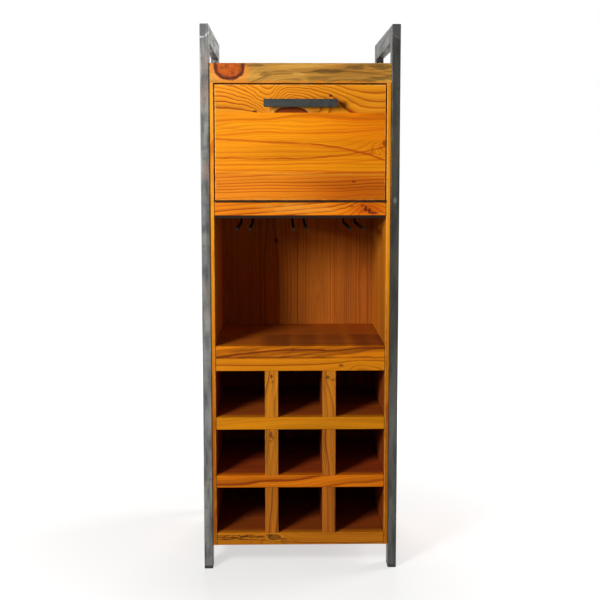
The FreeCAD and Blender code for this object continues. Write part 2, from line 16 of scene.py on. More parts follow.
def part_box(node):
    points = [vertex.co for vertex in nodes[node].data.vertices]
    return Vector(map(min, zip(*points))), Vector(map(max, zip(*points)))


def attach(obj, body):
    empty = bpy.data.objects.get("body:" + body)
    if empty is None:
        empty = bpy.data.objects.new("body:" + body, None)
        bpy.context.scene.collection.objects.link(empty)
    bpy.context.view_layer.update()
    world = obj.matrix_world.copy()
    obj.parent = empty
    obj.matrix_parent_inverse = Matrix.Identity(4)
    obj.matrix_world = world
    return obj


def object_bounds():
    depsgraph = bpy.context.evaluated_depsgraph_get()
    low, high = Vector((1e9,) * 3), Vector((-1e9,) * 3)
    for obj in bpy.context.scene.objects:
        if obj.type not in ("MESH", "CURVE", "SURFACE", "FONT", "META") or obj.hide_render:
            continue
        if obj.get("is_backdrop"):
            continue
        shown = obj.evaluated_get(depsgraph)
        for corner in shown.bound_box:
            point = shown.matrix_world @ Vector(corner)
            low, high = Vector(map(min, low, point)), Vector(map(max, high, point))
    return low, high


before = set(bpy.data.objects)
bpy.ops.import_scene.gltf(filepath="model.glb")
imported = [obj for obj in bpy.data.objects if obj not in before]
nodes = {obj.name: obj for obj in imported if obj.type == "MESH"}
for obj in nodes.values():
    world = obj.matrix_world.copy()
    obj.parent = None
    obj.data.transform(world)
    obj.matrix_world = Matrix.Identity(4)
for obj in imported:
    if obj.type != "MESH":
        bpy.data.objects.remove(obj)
cad_low, cad_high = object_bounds()
scene = bpy.context.scene
MM = 0.001
print("nodes:", len(nodes), "size in mm:", [round(side / MM) for side in cad_high - cad_low])

# %% [markdown]
# ## Camera
# The camera stands about two and a half metres away, a little above the flap's lower edge. Tilting it down
# or shifting it down would both frame the feet. A shift keeps posts upright but stays on in every other
# view, so most of the way is a tilt, and a small shift does the rest.

# %% Place the camera
PICTURE_SIDE = 600
FOCAL_PIXELS = 1056.4
SENSOR_WIDTH = 36
SHIFT_DOWN = -0.045
TILT_DOWN = math.radians(5.95)
TURN_RIGHT = math.radians(1.1)

camera_data = bpy.data.cameras.new("front_camera")
camera_data.sensor_width = SENSOR_WIDTH
camera_data.lens = FOCAL_PIXELS / PICTURE_SIDE * SENSOR_WIDTH
camera_data.shift_y = SHIFT_DOWN
camera = bpy.data.objects.new("front_camera", camera_data)
scene.collection.objects.link(camera)
camera.location = (-0.045, -2.487, 0.905)
camera.rotation_euler = (math.pi / 2 - TILT_DOWN, 0, -TURN_RIGHT)
scene.camera = camera
print("lens:", round(camera_data.lens, 1), "mm")

# %% [markdown]
# ## Lamps
# A soft lamp in front on the left leaves the left walls of the bays dark and lights the right ones. Two
# lamps behind the cabinet light its back and its right side for the other views. From the front they only
# touch the rails, the top and the floor.

# %% Light the cabinet
scene.view_settings.view_transform = "Standard"


def soft_lamp(name, place, aim, width, height, power):
    """A rectangular lamp that points from its place to its aim."""
    data = bpy.data.lights.new(name, "AREA")
    data.shape = "RECTANGLE"
    data.size = width
    data.size_y = height
    data.energy = power
    lamp = bpy.data.objects.new(name, data)
    scene.collection.objects.link(lamp)
    lamp.location = place
    lamp.rotation_euler = (Vector(aim) - Vector(place)).to_track_quat("-Z", "Y").to_euler()


soft_lamp("key_lamp", (-1.0, -1.6, 1.25), aim=(0.0, -0.17, 0.8), width=0.45, height=0.55, power=29.5)
soft_lamp("back_lamp", (0.0, 2.2, 2.3), aim=(0.0, 0.0, 0.8), width=1.2, height=1.2, power=46)
soft_lamp("side_lamp", (2.3, 0.8, 1.35), aim=(0.2, 0.0, 0.6), width=1.2, height=1.2, power=42)

# %% [markdown]
# ## Short words for shader nodes
# A material is a tree of small nodes. Adding one by hand takes four lines, so these classes hold a tree and
# add a node with one word. A value may be a plain number or another node's output, and `put` handles both.

# %% Words for placing nodes


class Nodes:
    """One shader tree. Its words add nodes and fill their sockets."""

    def __init__(self, tree):
        self.tree = tree

    def put(self, socket, value):
        """Links an output to a socket, or sets a plain value on it."""
        if isinstance(value, bpy.types.NodeSocket):
            self.tree.links.new(value, socket)
        else:
            socket.default_value = value

    def fill(self, node, **values):
        """Fills sockets by name. Spaces in the names are written as underscores."""
        for name, value in values.items():
            self.put(node.inputs[name.replace("_", " ")], value)
        return node

    def node(self, kind, **values):
        return self.fill(self.tree.nodes.new("ShaderNode" + kind), **values)

    def group(self, shared, **values):
        """Places a shared node group and gives back its outputs."""
        holder = self.node("Group")
        holder.node_tree = shared.tree
        return self.fill(holder, **values).outputs

    def place(self):
        """Object coordinates. All the pieces sit at the origin, so these are the cabinet's own."""
        return self.node("TexCoord").outputs["Object"]

    def axes(self, vector):
        return self.node("SeparateXYZ", Vector=vector).outputs

    def turned(self, vector, angle):
        """Coordinates turned round Y, which is how grain is laid upright or aslant."""
        return self.node("Mapping", Vector=vector, Rotation=(0, angle, 0)).outputs["Vector"]


print("words:", [word for word in vars(Nodes) if not word.startswith("_")])

# %% [markdown]
# ## Words for sums
# Most patterns are sums on coordinates, so the common operations of the Math node get a word each. Noise
# lies round 0.5, and `sway` takes that off first, so that a value moves both up and down.

# %% Words for sums


class Sums(Nodes):
    """Words for the Math and Vector Math nodes."""

    def work(self, kind, operation, values):
        worker = self.node(kind)
        worker.operation = operation
        for socket, value in zip(worker.inputs, values):
            self.put(socket, value)
        return worker

    def maths(self, operation, *values):
        return self.work("Math", operation, values).outputs[0]

    def vectors(self, operation, *values):
        result = "Value" if operation == "LENGTH" else "Vector"
        return self.work("VectorMath", operation, values).outputs[result]

    def times(self, first, second):
        return self.maths("MULTIPLY", first, second)

    def plus(self, first, second):
        return self.maths("ADD", first, second)

    def minus(self, first, second):
        return self.maths("SUBTRACT", first, second)

    def over(self, first, second):
        return self.maths("DIVIDE", first, second)

    def size(self, value):
        return self.maths("ABSOLUTE", value)

    def scaled(self, value, factor, base):
        """The base plus a value times a factor."""
        return self.maths("MULTIPLY_ADD", value, factor, base)

    def sway(self, value, amount, base):
        """The base moved up and down by noise."""
        return self.scaled(self.minus(value, 0.5), amount, base)


print("words:", [word for word in vars(Sums) if not word.startswith("_")])

# %% [markdown]
# ## Words for patterns and colours
# Four-dimensional noise takes a seed as its fourth coordinate, so boards with different seeds never match. A
# soft step turns a value into a mask, and `paint` lays a tint over a colour where the mask is.

# %% Words for patterns and colours


class Net(Sums):
    """Words for noise, masks and colours."""

    def noise(self, vector, stretch, seed=0.0, detail=2.0, rough=0.5):
        """Smooth noise, as fine as the stretch is large. Three numbers stretch it along the axes."""
        texture = self.node("TexNoise", Scale=1.0, Detail=detail, Roughness=rough)
        texture.noise_dimensions = "4D"
        stretch = (stretch, stretch, stretch) if isinstance(stretch, float) else stretch
        return self.fill(texture, Vector=self.vectors("MULTIPLY", vector, stretch), W=seed).outputs["Fac"]

    def span(self, value, low, high, to_low=0.0, to_high=1.0):
        """A soft step: to_low below low, to_high above high, smooth between."""
        step = self.node("MapRange", Value=value, From_Min=low, From_Max=high, To_Min=to_low, To_Max=to_high)
        step.interpolation_type = "SMOOTHSTEP"
        return step.outputs["Result"]

    def mix(self, amount, first, second, way="MIX"):
        """Mixes two colours by an amount."""
        mixer = self.node("Mix")
        mixer.data_type = "RGBA"
        mixer.blend_type = way
        colours = [socket for socket in mixer.inputs if socket.type == "RGBA"]
        for socket, value in zip([mixer.inputs[0], *colours], (amount, first, second)):
            self.put(socket, value)
        return [socket for socket in mixer.outputs if socket.type == "RGBA"][0]

    def paint(self, colour, mask, strength, tint):
        """Lays a tint over a colour where the mask is."""
        return self.mix(self.times(mask, strength), colour, tint)

    def bump(self, height, strength, distance):
        """A normal that follows a height."""
        return self.node("Bump", Height=height, Strength=strength, Distance=distance).outputs["Normal"]


print("words:", [word for word in vars(Net) if not word.startswith("_")])

# %% [markdown]
# ## Groups and materials
# A node group is a pattern that many materials share, with named sockets. A material ends in the Principled
# BSDF that Blender adds by itself. Colours are written as they read on a screen and turned into the linear
# values that shaders use.

# %% Start a group or a material


def shade(red, green, blue):
    """A screen colour, 0 to 255, as linear values."""
    def linear(part):
        part = part / 255
        return part / 12.92 if part <= 0.04045 else ((part + 0.055) / 1.055) ** 2.4
    return (linear(red), linear(green), linear(blue), 1.0)


def new_group(name, outputs, **inputs):
    """A node group with named sockets: its net, its inputs and its output node."""
    group = bpy.data.node_groups.new(name, "ShaderNodeTree")
    for label, start in inputs.items():
        kind = "NodeSocketVector" if isinstance(start, tuple) else "NodeSocketFloat"
        socket = group.interface.new_socket(label.replace("_", " "), in_out="INPUT", socket_type=kind)
        socket.default_value = start
    for label in outputs:
        group.interface.new_socket(label, in_out="OUTPUT", socket_type="NodeSocketFloat")
    given = group.nodes.new("NodeGroupInput").outputs
    print("group:", name, "puts out", outputs)
    return Net(group), given, group.nodes.new("NodeGroupOutput")


def new_material(name):
    """A material, its net and its Principled BSDF."""
    material = bpy.data.materials.new(name)
    material.use_nodes = True
    return material, Net(material.node_tree), material.node_tree.nodes["Principled BSDF"]


def dress(piece, material):
    """Gives a piece one material and no other."""
    piece.data.materials.clear()
    piece.data.materials.append(material)


ORIGIN, UNIT = (0, 0, 0), (1, 1, 1)
print("a pine colour in linear values:", [round(part, 3) for part in shade(250, 158, 31)])

# %% [markdown]
# ## White background
# The background is white only where the camera or a reflection looks at it, so it adds hardly any light to
# the wood. A Light Path node tells such looks from light that bounces about.

# %% Set up the background


def seen_directly(net):
    """1 for the camera, for reflections and for looks through clear things, and 0 for bouncing light."""
    path = net.node("LightPath").outputs
    seen = net.maths("MAXIMUM", path["Is Camera Ray"], path["Is Glossy Ray"])
    return net.maths("MAXIMUM", seen, path["Is Transmission Ray"])


DIM_SKY = 0.1
world = bpy.data.worlds.new("studio")
scene.world = world
world.use_nodes = True
world.node_tree.nodes.clear()
sky = Net(world.node_tree)
both_skies = sky.node("MixShader", Fac=seen_directly(sky))
sky.put(both_skies.inputs[1], sky.node("Background", Strength=DIM_SKY).outputs[0])
sky.put(both_skies.inputs[2], sky.node("Background", Color=(1, 1, 1, 1)).outputs[0])
sky.node("OutputWorld", Surface=both_skies.outputs[0])
print("sky for bouncing light:", DIM_SKY)

# %% [markdown]
# ## Floor
# The floor glows in the same way, and more so with the distance from the cabinet. Close to the feet the glow
# is weak, so the shadow stays. Further out the floor runs into the background without an edge.

# %% Lay the floor
CLOSE_GLOW, FAR_GLOW = 0.62, 1.0
GLOW_START, GLOW_END = 0.3, 1.5

bpy.ops.object.select_all(action="DESELECT")
bpy.ops.mesh.primitive_plane_add(size=60, location=(0, 0, 0))
floor = bpy.context.object
floor.name = "studio_floor"
pale_floor = bpy.data.materials.new("pale_floor")
pale_floor.use_nodes = True
pale_floor.node_tree.nodes.clear()
ground = Net(pale_floor.node_tree)
growth = ground.span(ground.vectors("LENGTH", ground.place()), GLOW_START, GLOW_END, CLOSE_GLOW, FAR_GLOW)
glow = ground.node("Emission", Strength=ground.times(seen_directly(ground), growth))
lit_floor = ground.node("AddShader")
ground.put(lit_floor.inputs[0], ground.node("BsdfDiffuse", Color=(0.4, 0.4, 0.4, 1)).outputs[0])
ground.put(lit_floor.inputs[1], glow.outputs[0])
ground.node("OutputMaterial", Surface=lit_floor.outputs[0])
floor.data.materials.append(pale_floor)
floor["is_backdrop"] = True
print("floor glow from", CLOSE_GLOW, "at the feet to", FAR_GLOW, "further out")

# %% [markdown]
# ## Growth rings
# A board is a slice of a tree, so its grain is the distance from the heart of the log, cut into rings. Each
# ring fades from pale spring wood to a thin dark line of summer wood and starts again at once. Made from
# that distance, instead of drawn on each face, the lines run over an edge and down the next face by
# themselves.

# %% Group for the growth rings
FINE_LINES = 4
RIPPLE = 0.35

rings, given, result = new_group(
    "pine_rings", ["Late Wood", "Fine Lines", "Ring Tone", "Streaks", "Fibre"], Vector=ORIGIN,
    Ring_Width=0.01, Heart_Deep=0.05, Heart_Across=0.0, Taper=4.0, Waves=1.0, Shift=0.0, Seed=0.0)
where, seed = given["Vector"], given["Seed"]
x, y, z = rings.axes(where)
spoke = rings.node("CombineXYZ", Y=rings.minus(y, given["Heart Deep"]),
                   Z=rings.minus(z, given["Heart Across"]))
count = rings.over(rings.vectors("LENGTH", spoke.outputs[0]), given["Ring Width"])
count = rings.scaled(x, given["Taper"], count)
count = rings.sway(rings.noise(where, (3.0, 16.0, 16.0), seed), given["Waves"], count)
ripple = rings.noise(where, (14.0, 60.0, 60.0), seed)
count = rings.scaled(ripple, RIPPLE, rings.plus(count, given["Shift"]))
within = rings.maths("FRACT", count)
gradual = rings.times(rings.span(within, 0.1, 0.9), 0.4)
sharp = rings.scaled(rings.span(within, 0.6, 0.9), 0.6, gradual)
fine_wave = rings.maths("SINE", rings.times(count, FINE_LINES * 2 * math.pi))
ring_number = rings.node("CombineXYZ", X=rings.maths("FLOOR", count), Y=seed)
ring_tone = rings.node("TexWhiteNoise", Vector=ring_number.outputs[0])
ring_tone.noise_dimensions = "2D"
rings.fill(result, Late_Wood=rings.times(sharp, rings.span(within, 0.92, 1.0, 1.0, 0.0)),
           Fine_Lines=rings.scaled(fine_wave, 0.5, 0.5), Ring_Tone=ring_tone.outputs["Value"],
           Streaks=rings.noise(where, (5.0, 75.0, 75.0), seed, 3.0),
           Fibre=rings.noise(where, (60.0, 1500.0, 1500.0), seed))

# %% [markdown]
# ## Swirls, fans and cones
# Where a branch grew, the rings bend round it. A swirl adds rings near a point. A fan adds them by the angle
# round a point, so the lines spread like ribs. A cone adds them by the distance, which draws nested arches,
# and may reach further to one side. Its border is eased, because a sudden end would kink every line.

# %% Groups for swirls, fans and cones
EASED_BORDER = 0.5


def distance(net, given):
    """How far a place lies from the centre, counted in reaches."""
    away = net.vectors("SUBTRACT", given["Vector"], given["Centre"])
    return net.vectors("LENGTH", net.vectors("DIVIDE", away, given["Reach"]))


swirl, given, result = new_group("grain_swirl", ["Shift"], Vector=ORIGIN, Centre=ORIGIN, Reach=UNIT,
                                 Rings=1.0)
far = distance(swirl, given)
near = swirl.maths("EXPONENT", swirl.times(swirl.times(far, far), -1.0))
swirl.fill(result, Shift=swirl.times(near, given["Rings"]))

fan, given, result = new_group("grain_fan", ["Shift"], Vector=ORIGIN, Centre=ORIGIN, Rings=1.0)
x, y, z = fan.axes(fan.vectors("SUBTRACT", given["Vector"], given["Centre"]))
turns = fan.span(fan.maths("ARCTAN2", x, z), -math.pi / 2, 0.0, -0.5, 0.0)
fan.fill(result, Shift=fan.times(turns, given["Rings"]))

cone, given, result = new_group("grain_cone", ["Shift"], Vector=ORIGIN, Centre=ORIGIN, Reach=UNIT,
                                Left_Reach=1.0, Rings=1.0)
x, y, z = cone.axes(cone.vectors("SUBTRACT", given["Vector"], given["Centre"]))
right_reach, deep_reach, up_reach = cone.axes(given["Reach"])
right = cone.over(x, right_reach)
left = cone.over(cone.times(x, -1.0), given["Left Reach"])
flat = cone.node("CombineXYZ", X=cone.maths("MAXIMUM", right, left), Z=cone.over(z, up_reach))
slope = cone.minus(1.0, cone.vectors("LENGTH", flat.outputs[0]))
eased = cone.maths("SMOOTH_MAX", slope, 0.0, EASED_BORDER)
cone.fill(result, Shift=cone.times(eased, given["Rings"]))

# %% [markdown]
# ## Knots and single lines
# A knot is the branch itself: a core with fine rings, a dark rim of bark and a warm halo. Noise bends its
# outline, and the Soft input blurs small knots into the wood. A resin line is drawn along a curve, for the
# few lines that everyone notices on a calm plank.

# %% Groups for knots and resin lines
knot, given, result = new_group("pine_knot", ["Core", "Rim", "Halo", "Core Rings"], Vector=ORIGIN,
                                Centre=ORIGIN, Reach=UNIT, Soft=0.1, Seed=0.0)
uneven = knot.noise(given["Vector"], 55.0, given["Seed"], 3.0)
far = knot.sway(uneven, 0.45, distance(knot, given))
rim_start = knot.span(far, knot.minus(0.76, given["Soft"]), 0.9)
blotch = knot.noise(given["Vector"], 120.0, given["Seed"], 4.0)
ring_wave = knot.maths("SINE", knot.scaled(far, 40.0, knot.times(blotch, 9.0)))
knot.fill(result, Core=knot.span(far, knot.minus(1.0, given["Soft"]), 1.04, 1.0, 0.0),
          Rim=knot.times(rim_start, knot.span(far, 0.96, 1.06, 1.0, 0.0)),
          Halo=knot.span(far, 0.95, 1.7, 1.0, 0.0),
          Core_Rings=knot.scaled(ring_wave, 0.2, knot.span(blotch, 0.34, 0.68)))

line, given, result = new_group("resin_line", ["Line"], Vector=ORIGIN, Height=0.0, Slope=0.0, Bend=0.0,
                                Twist=0.0, Width=0.001, Seed=0.0)
x, y, z = line.axes(given["Vector"])
curve = line.scaled(given["Twist"], x, given["Bend"])
curve = line.scaled(curve, x, given["Slope"])
curve = line.scaled(curve, x, given["Height"])
curve = line.sway(line.noise(given["Vector"], (22.0, 0.0, 0.0), given["Seed"]), 0.006, curve)
off = line.over(line.size(line.minus(z, curve)), given["Width"])
strong = line.span(line.noise(given["Vector"], (14.0, 0.0, 40.0), given["Seed"]), 0.25, 0.6, 0.45, 1.0)
line.fill(result, Line=line.times(strong, line.span(off, 0.3, 1.3, 1.0, 0.0)))

# %% [markdown]
# ## Cracks, worn edges and edge highlights
# Old timber opens in short, wavy cracks along the grain. Edges of a handled board are rubbed paler, and the
# same mask paints the flap's highlight along its rounded edges. The way to the nearest edge comes from the
# board's box: of the three distances to its faces, it is the second smallest.

# %% Groups for cracks and edges
crack, given, result = new_group("drying_crack", ["Crack"], Vector=ORIGIN, Centre=ORIGIN, Length=0.05,
                                 Width=0.001, Seed=0.0)
x, y, z = crack.axes(crack.vectors("SUBTRACT", given["Vector"], given["Centre"]))
path = crack.sway(crack.noise(given["Vector"], (45.0, 0.0, 0.0), given["Seed"], 3.0), 0.012, z)
broken = crack.noise(given["Vector"], 120.0, given["Seed"])
wide = crack.times(given["Width"], crack.span(broken, 0.3, 0.6, 0.1, 1.6))
across = crack.span(crack.over(crack.size(path), wide), 0.5, 1.5, 1.0, 0.0)
along = crack.span(crack.over(crack.size(x), given["Length"]), 0.35, 0.55, 1.0, 0.0)
crack.fill(result, Crack=crack.times(across, along))

edge_wear_and_highlight, given, result = new_group("edge_wear_and_highlight", ["Edge"], Vector=ORIGIN, Half_Size=UNIT, Width=0.003,
                                     Seed=0.0)
to_faces = edge_wear_and_highlight.vectors("SUBTRACT", given["Half Size"], edge_wear_and_highlight.vectors("ABSOLUTE", given["Vector"]))
x, y, z = edge_wear_and_highlight.axes(to_faces)
least = edge_wear_and_highlight.maths("MINIMUM", edge_wear_and_highlight.maths("MINIMUM", x, y), z)
most = edge_wear_and_highlight.maths("MAXIMUM", edge_wear_and_highlight.maths("MAXIMUM", x, y), z)
total = edge_wear_and_highlight.plus(edge_wear_and_highlight.plus(x, y), z)
to_edge = edge_wear_and_highlight.minus(edge_wear_and_highlight.minus(total, least), most)
handled = edge_wear_and_highlight.noise(given["Vector"], 55.0, given["Seed"], 3.0)
reach = edge_wear_and_highlight.times(given["Width"], edge_wear_and_highlight.span(handled, 0.3, 0.7, 0.35, 1.7))
edge_wear_and_highlight.fill(result, Edge=edge_wear_and_highlight.span(edge_wear_and_highlight.over(to_edge, reach), 0.1, 1.0, 1.0, 0.0))

# %% [markdown]
# ## Painted shade inside the bays
# Inside the cabinet the wood is painted darker and a little greyer, most of all in the cells: painted shade
# for the light that hardly reaches in there. One mask is 1 inside the carcass and fades out at the front
# edges, so a shelf has a bright front and a dark floor. Another is 1 below the counter, where the cells are.

# %% Group for the painted shade inside the carcass
INSIDE_X, INSIDE_FRONT, INSIDE_BACK = 0.188, -0.189, 0.139
INSIDE_LOW, INSIDE_HIGH, CELLS_TOP = 0.0555, 1.0765, 0.477
FADE, FRONT_FADE = 0.002, 0.03

# These masks say where shade is painted inside the carcass and in the cells.
inside, given, result = new_group("inside_shade_masks", ["Inside", "Cells"], Vector=ORIGIN)
x, y, z = inside.axes(given["Vector"])
mask = inside.span(inside.size(x), INSIDE_X, INSIDE_X + FADE, 1.0, 0.0)
for step in (
    (y, INSIDE_FRONT, INSIDE_FRONT + FRONT_FADE, 0.0, 1.0),
    (y, INSIDE_BACK, INSIDE_BACK + FADE, 1.0, 0.0),
    (z, INSIDE_LOW - FADE, INSIDE_LOW, 0.0, 1.0),
    (z, INSIDE_HIGH, INSIDE_HIGH + FADE, 1.0, 0.0),
):
    mask = inside.times(mask, inside.span(*step))
inside.fill(result, Inside=mask, Cells=inside.span(z, CELLS_TOP, CELLS_TOP + FADE, 1.0, 0.0))

# %% [markdown]
# ## A board's own space
# Every board gets its own material, because no two boards match. The pattern is centred on the board and
# turned so that the grain runs along it. Marks are placed in millimetres, as measured on the cabinet's
# front, and moved into that space here.

# %% Places on a board


class Board:
    """A CAD board and the space of its own, where the grain runs along X."""

    def __init__(self, node, net, upright, seed):
        low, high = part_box(node)
        self.centre = (low + high) / 2
        self.half = (high - low) / 2
        self.net = net
        self.upright = upright
        self.seed = seed
        self.place = net.place()
        self.grain = net.vectors("SUBTRACT", self.place, tuple(self.centre))
        if upright:
            self.grain = net.turned(self.grain, math.pi / 2)

    def spot(self, at):
        """A place on the front, given by x and z, in the board's space."""
        x, z = at[0] * MM - self.centre.x, at[1] * MM - self.centre.z
        return (z, -self.half.y, -x) if self.upright else (x, -self.half.y, z)

    def reach(self, sizes, deep):
        """How far a mark reaches along x and z, turned with the grain."""
        across, up = sizes[0] * MM, sizes[1] * MM
        return (up, deep, across) if self.upright else (across, deep, up)

    def near(self, vector, at, sizes, deep, strength):
        """A soft spot that is strongest at a place and fades out round it."""
        return self.net.group(swirl, Vector=vector, Centre=self.spot(at), Reach=self.reach(sizes, deep),
                              Rings=strength)["Shift"]


print("a board knows:", [word for word in vars(Board) if not word.startswith("_")])

# %% [markdown]
# ## Bent grain and clear wood
# The first layer is clear wood. Swirls, fans and cones add up to one shift of the ring count. The rings mix
# pale and dark wood, and streaks, fine lines and fibres vary the result. Noise bends the swirls a little,
# because a perfect oval would look drawn.

# %% Bend the grain and colour clear wood
SWING = (0.03, 0.0, 0.014)


def bend_grain(board, swirls, fans, cones):
    """The rings that branches add at each place."""
    net = board.net
    moved = net.vectors("ADD", board.grain, (board.seed, 0.0, 0.0))
    bumps = net.node("TexNoise", Vector=moved, Scale=26.0, Detail=2.0)
    swing = net.vectors("SUBTRACT", bumps.outputs["Color"], (0.5, 0.5, 0.5))
    wavy = net.vectors("ADD", board.grain, net.vectors("MULTIPLY", swing, SWING))
    shift = 0.0
    for at, sizes, amount in swirls:
        shift = net.plus(shift, board.near(wavy, at, sizes, 0.06, amount))
    for at, amount in fans:
        spread = net.group(fan, Vector=wavy, Centre=board.spot(at), Rings=amount)
        shift = net.plus(shift, spread["Shift"])
    for at, sizes, left_reach, amount in cones:
        arched = net.group(cone, Vector=wavy, Centre=board.spot(at), Reach=board.reach(sizes, 1.0),
                           Left_Reach=left_reach * MM, Rings=amount)
        shift = net.plus(shift, arched["Shift"])
    return shift


def clear_wood(board, wood, broad, pale, dark, contrast, uneven, streaky, fine):
    """The colour of wood without marks."""
    net = board.net
    depth = net.times(wood["Late Wood"], net.span(wood["Ring Tone"], 0.1, 0.9, 1.0 - uneven, 1.0))
    colour = net.paint(pale, depth, contrast, dark)
    tone = net.sway(wood["Streaks"], streaky, net.span(broad, 0.25, 0.75, 0.84, 1.1))
    tone = net.sway(wood["Fine Lines"], -fine, tone)
    tone = net.sway(wood["Fibre"], 0.22, tone)
    grey = net.node("CombineColor", Red=tone, Green=tone, Blue=tone)
    return net.mix(1.0, colour, grey.outputs[0], "MULTIPLY")


print("the swing reaches", max(SWING) / 2 / MM, "mm to either side")

# %% [markdown]
# ## Marks on a board
# Resin lines and knots grew with the tree. Broad tints darken a wide area, and on the side boards one is
# painted shade. Stains are small spots with torn edges, and cracks opened when the timber dried. Most marks
# also press the surface down a little, so that light catches them.

# %% Draw lines, knots, stains and cracks
CRACK_BROWN = shade(66, 32, 10)


def grown_marks(board, colour, height, lines, knots):
    """Resin lines and knots."""
    net = board.net
    for level, slope, bend, twist, width, tint, strength in lines:
        drawn = net.group(line, Vector=board.grain, Height=level * MM - board.centre.z, Slope=slope,
                          Bend=bend, Twist=twist, Width=width * MM, Seed=board.seed + level)
        colour = net.paint(colour, drawn["Line"], strength, tint)
    for at, sizes, soft, core, rim, halo in knots:
        marks = net.group(knot, Vector=board.grain, Centre=board.spot(at), Reach=board.reach(sizes, 0.04),
                          Soft=soft, Seed=board.seed)
        colour = net.paint(colour, marks["Halo"], 0.7, halo)
        darker = net.work("Math", "MULTIPLY", (marks["Core Rings"], 0.6))
        darker.use_clamp = True
        colour = net.paint(colour, marks["Core"], 0.94, net.mix(darker.outputs[0], core, rim))
        colour = net.paint(colour, marks["Rim"], 0.85, rim)
        height = net.minus(height, marks["Rim"])
    return colour, height


def later_marks(board, colour, height, broad, tints_and_shade, stains, cracks):
    """Broad tints, on the side boards painted shade, then stains and cracks."""
    net = board.net
    for at, sizes, tint, strength in tints_and_shade:
        broad_tint = board.near(board.grain, at, sizes, 0.1, strength)
        broad_tint = net.times(broad_tint, net.span(broad, 0.3, 0.7, 0.8, 1.1))
        colour = net.mix(broad_tint, colour, tint, "MULTIPLY")
    for at, sizes, tint, strength in stains:
        torn = net.noise(board.grain, (38.0, 240.0, 240.0), board.seed + 7.7, 3.0)
        blot = board.near(board.grain, at, sizes, 0.03, 1.0)
        blot = net.times(blot, net.span(torn, 0.3, 0.65, 0.4, 1.4))
        blot = net.span(blot, 0.2, 0.85, 0.0, strength)
        colour = net.mix(blot, colour, tint)
        height = net.minus(height, net.times(blot, 0.5))
    for at, long_side, wide in cracks:
        split = net.group(crack, Vector=board.grain, Centre=board.spot(at), Length=long_side * MM,
                          Width=wide * MM, Seed=board.seed + at[1])["Crack"]
        colour = net.paint(colour, split, 0.8, CRACK_BROWN)
        height = net.minus(height, net.times(split, 2.0))
    return colour, height


print("cracks in linear values:", [round(part, 3) for part in CRACK_BROWN[:3]])

# %% [markdown]
# ## Wear, painted highlights and painted shade
# Last comes what happened in use, and the painted light. Edges are rubbed paler, and planks that belong
# together are worn along their common outline; on the flap that pale edge is also a painted highlight. A dark
# line at a board's ends is painted shade where it meets its neighbour, and the wood inside the carcass is
# painted darker as shade.

# %% Wear a board and paint its highlights and shade
EDGE_WIDTH = 0.0024
JOINT_START, JOINT_END = 0.0022, 0.0006
# The two colours here are painted shade: a dark brown for board ends and a grey brown for the inside.
JOINT_SHADE, INSIDE_SHADE_GREY = shade(64, 26, 8), shade(84, 66, 60)


def wear_and_highlight_edges(board, colour, whole, rubbed, edge):
    """Pales the edges of all the planks that make up one panel: wear, and on the flap a painted highlight."""
    net = board.net
    boxes = [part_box(name) for name in whole]
    low = Vector(min(box[0][axis] for box in boxes) for axis in range(3))
    high = Vector(max(box[1][axis] for box in boxes) for axis in range(3))
    from_middle = net.vectors("SUBTRACT", board.place, tuple((low + high) / 2))
    edge_mask = net.group(edge_wear_and_highlight, Vector=from_middle, Half_Size=tuple((high - low) / 2), Width=EDGE_WIDTH,
                     Seed=board.seed)
    return net.paint(colour, edge_mask["Edge"], rubbed, edge)


def paint_joint_shade(board, colour, joint):
    """Darkens both ends of a board: painted shade where it meets its neighbour."""
    net = board.net
    end = board.half.z if board.upright else board.half.x
    along = net.size(net.axes(board.grain)["X"])
    return net.mix(net.span(along, end - JOINT_START, end - JOINT_END, 0.0, joint), colour, JOINT_SHADE)


def paint_inside_shade(board, colour, bay, cells):
    """Paints shade on the wood inside the carcass, darkest in the cells, and gives back the mask too."""
    net = board.net
    depths = net.group(inside, Vector=board.place)
    bay_tone = (bay, bay * 0.84, bay * 0.7, 1.0)
    cell_tone = (cells, cells * 0.58, cells * 0.4, 1.0)
    # Painted shade: darker in the bay, darker still in the cells, then a little greyer.
    dimmed = net.mix(1.0, colour, net.mix(depths["Cells"], bay_tone, cell_tone), "MULTIPLY")
    shaded_wood = net.mix(0.14, dimmed, INSIDE_SHADE_GREY)
    return net.mix(depths["Inside"], colour, shaded_wood), depths["Inside"]


print("edges are rubbed over", EDGE_WIDTH / MM, "mm")

# %% [markdown]
# ## The oiled pine
# One function puts the layers together. A deep board is glued up from two planks, so it may have a glue
# line: behind it the rings jump and the wood is paler. The oil is glossier on hard dark wood, and a weak
# shine keeps the colours full.

# %% A finish for one board
GLUE_STEP, GLUE_JUMP = 0.4, 3.7
GLUE_BROWN = shade(70, 30, 8)
SHINE = 0.1
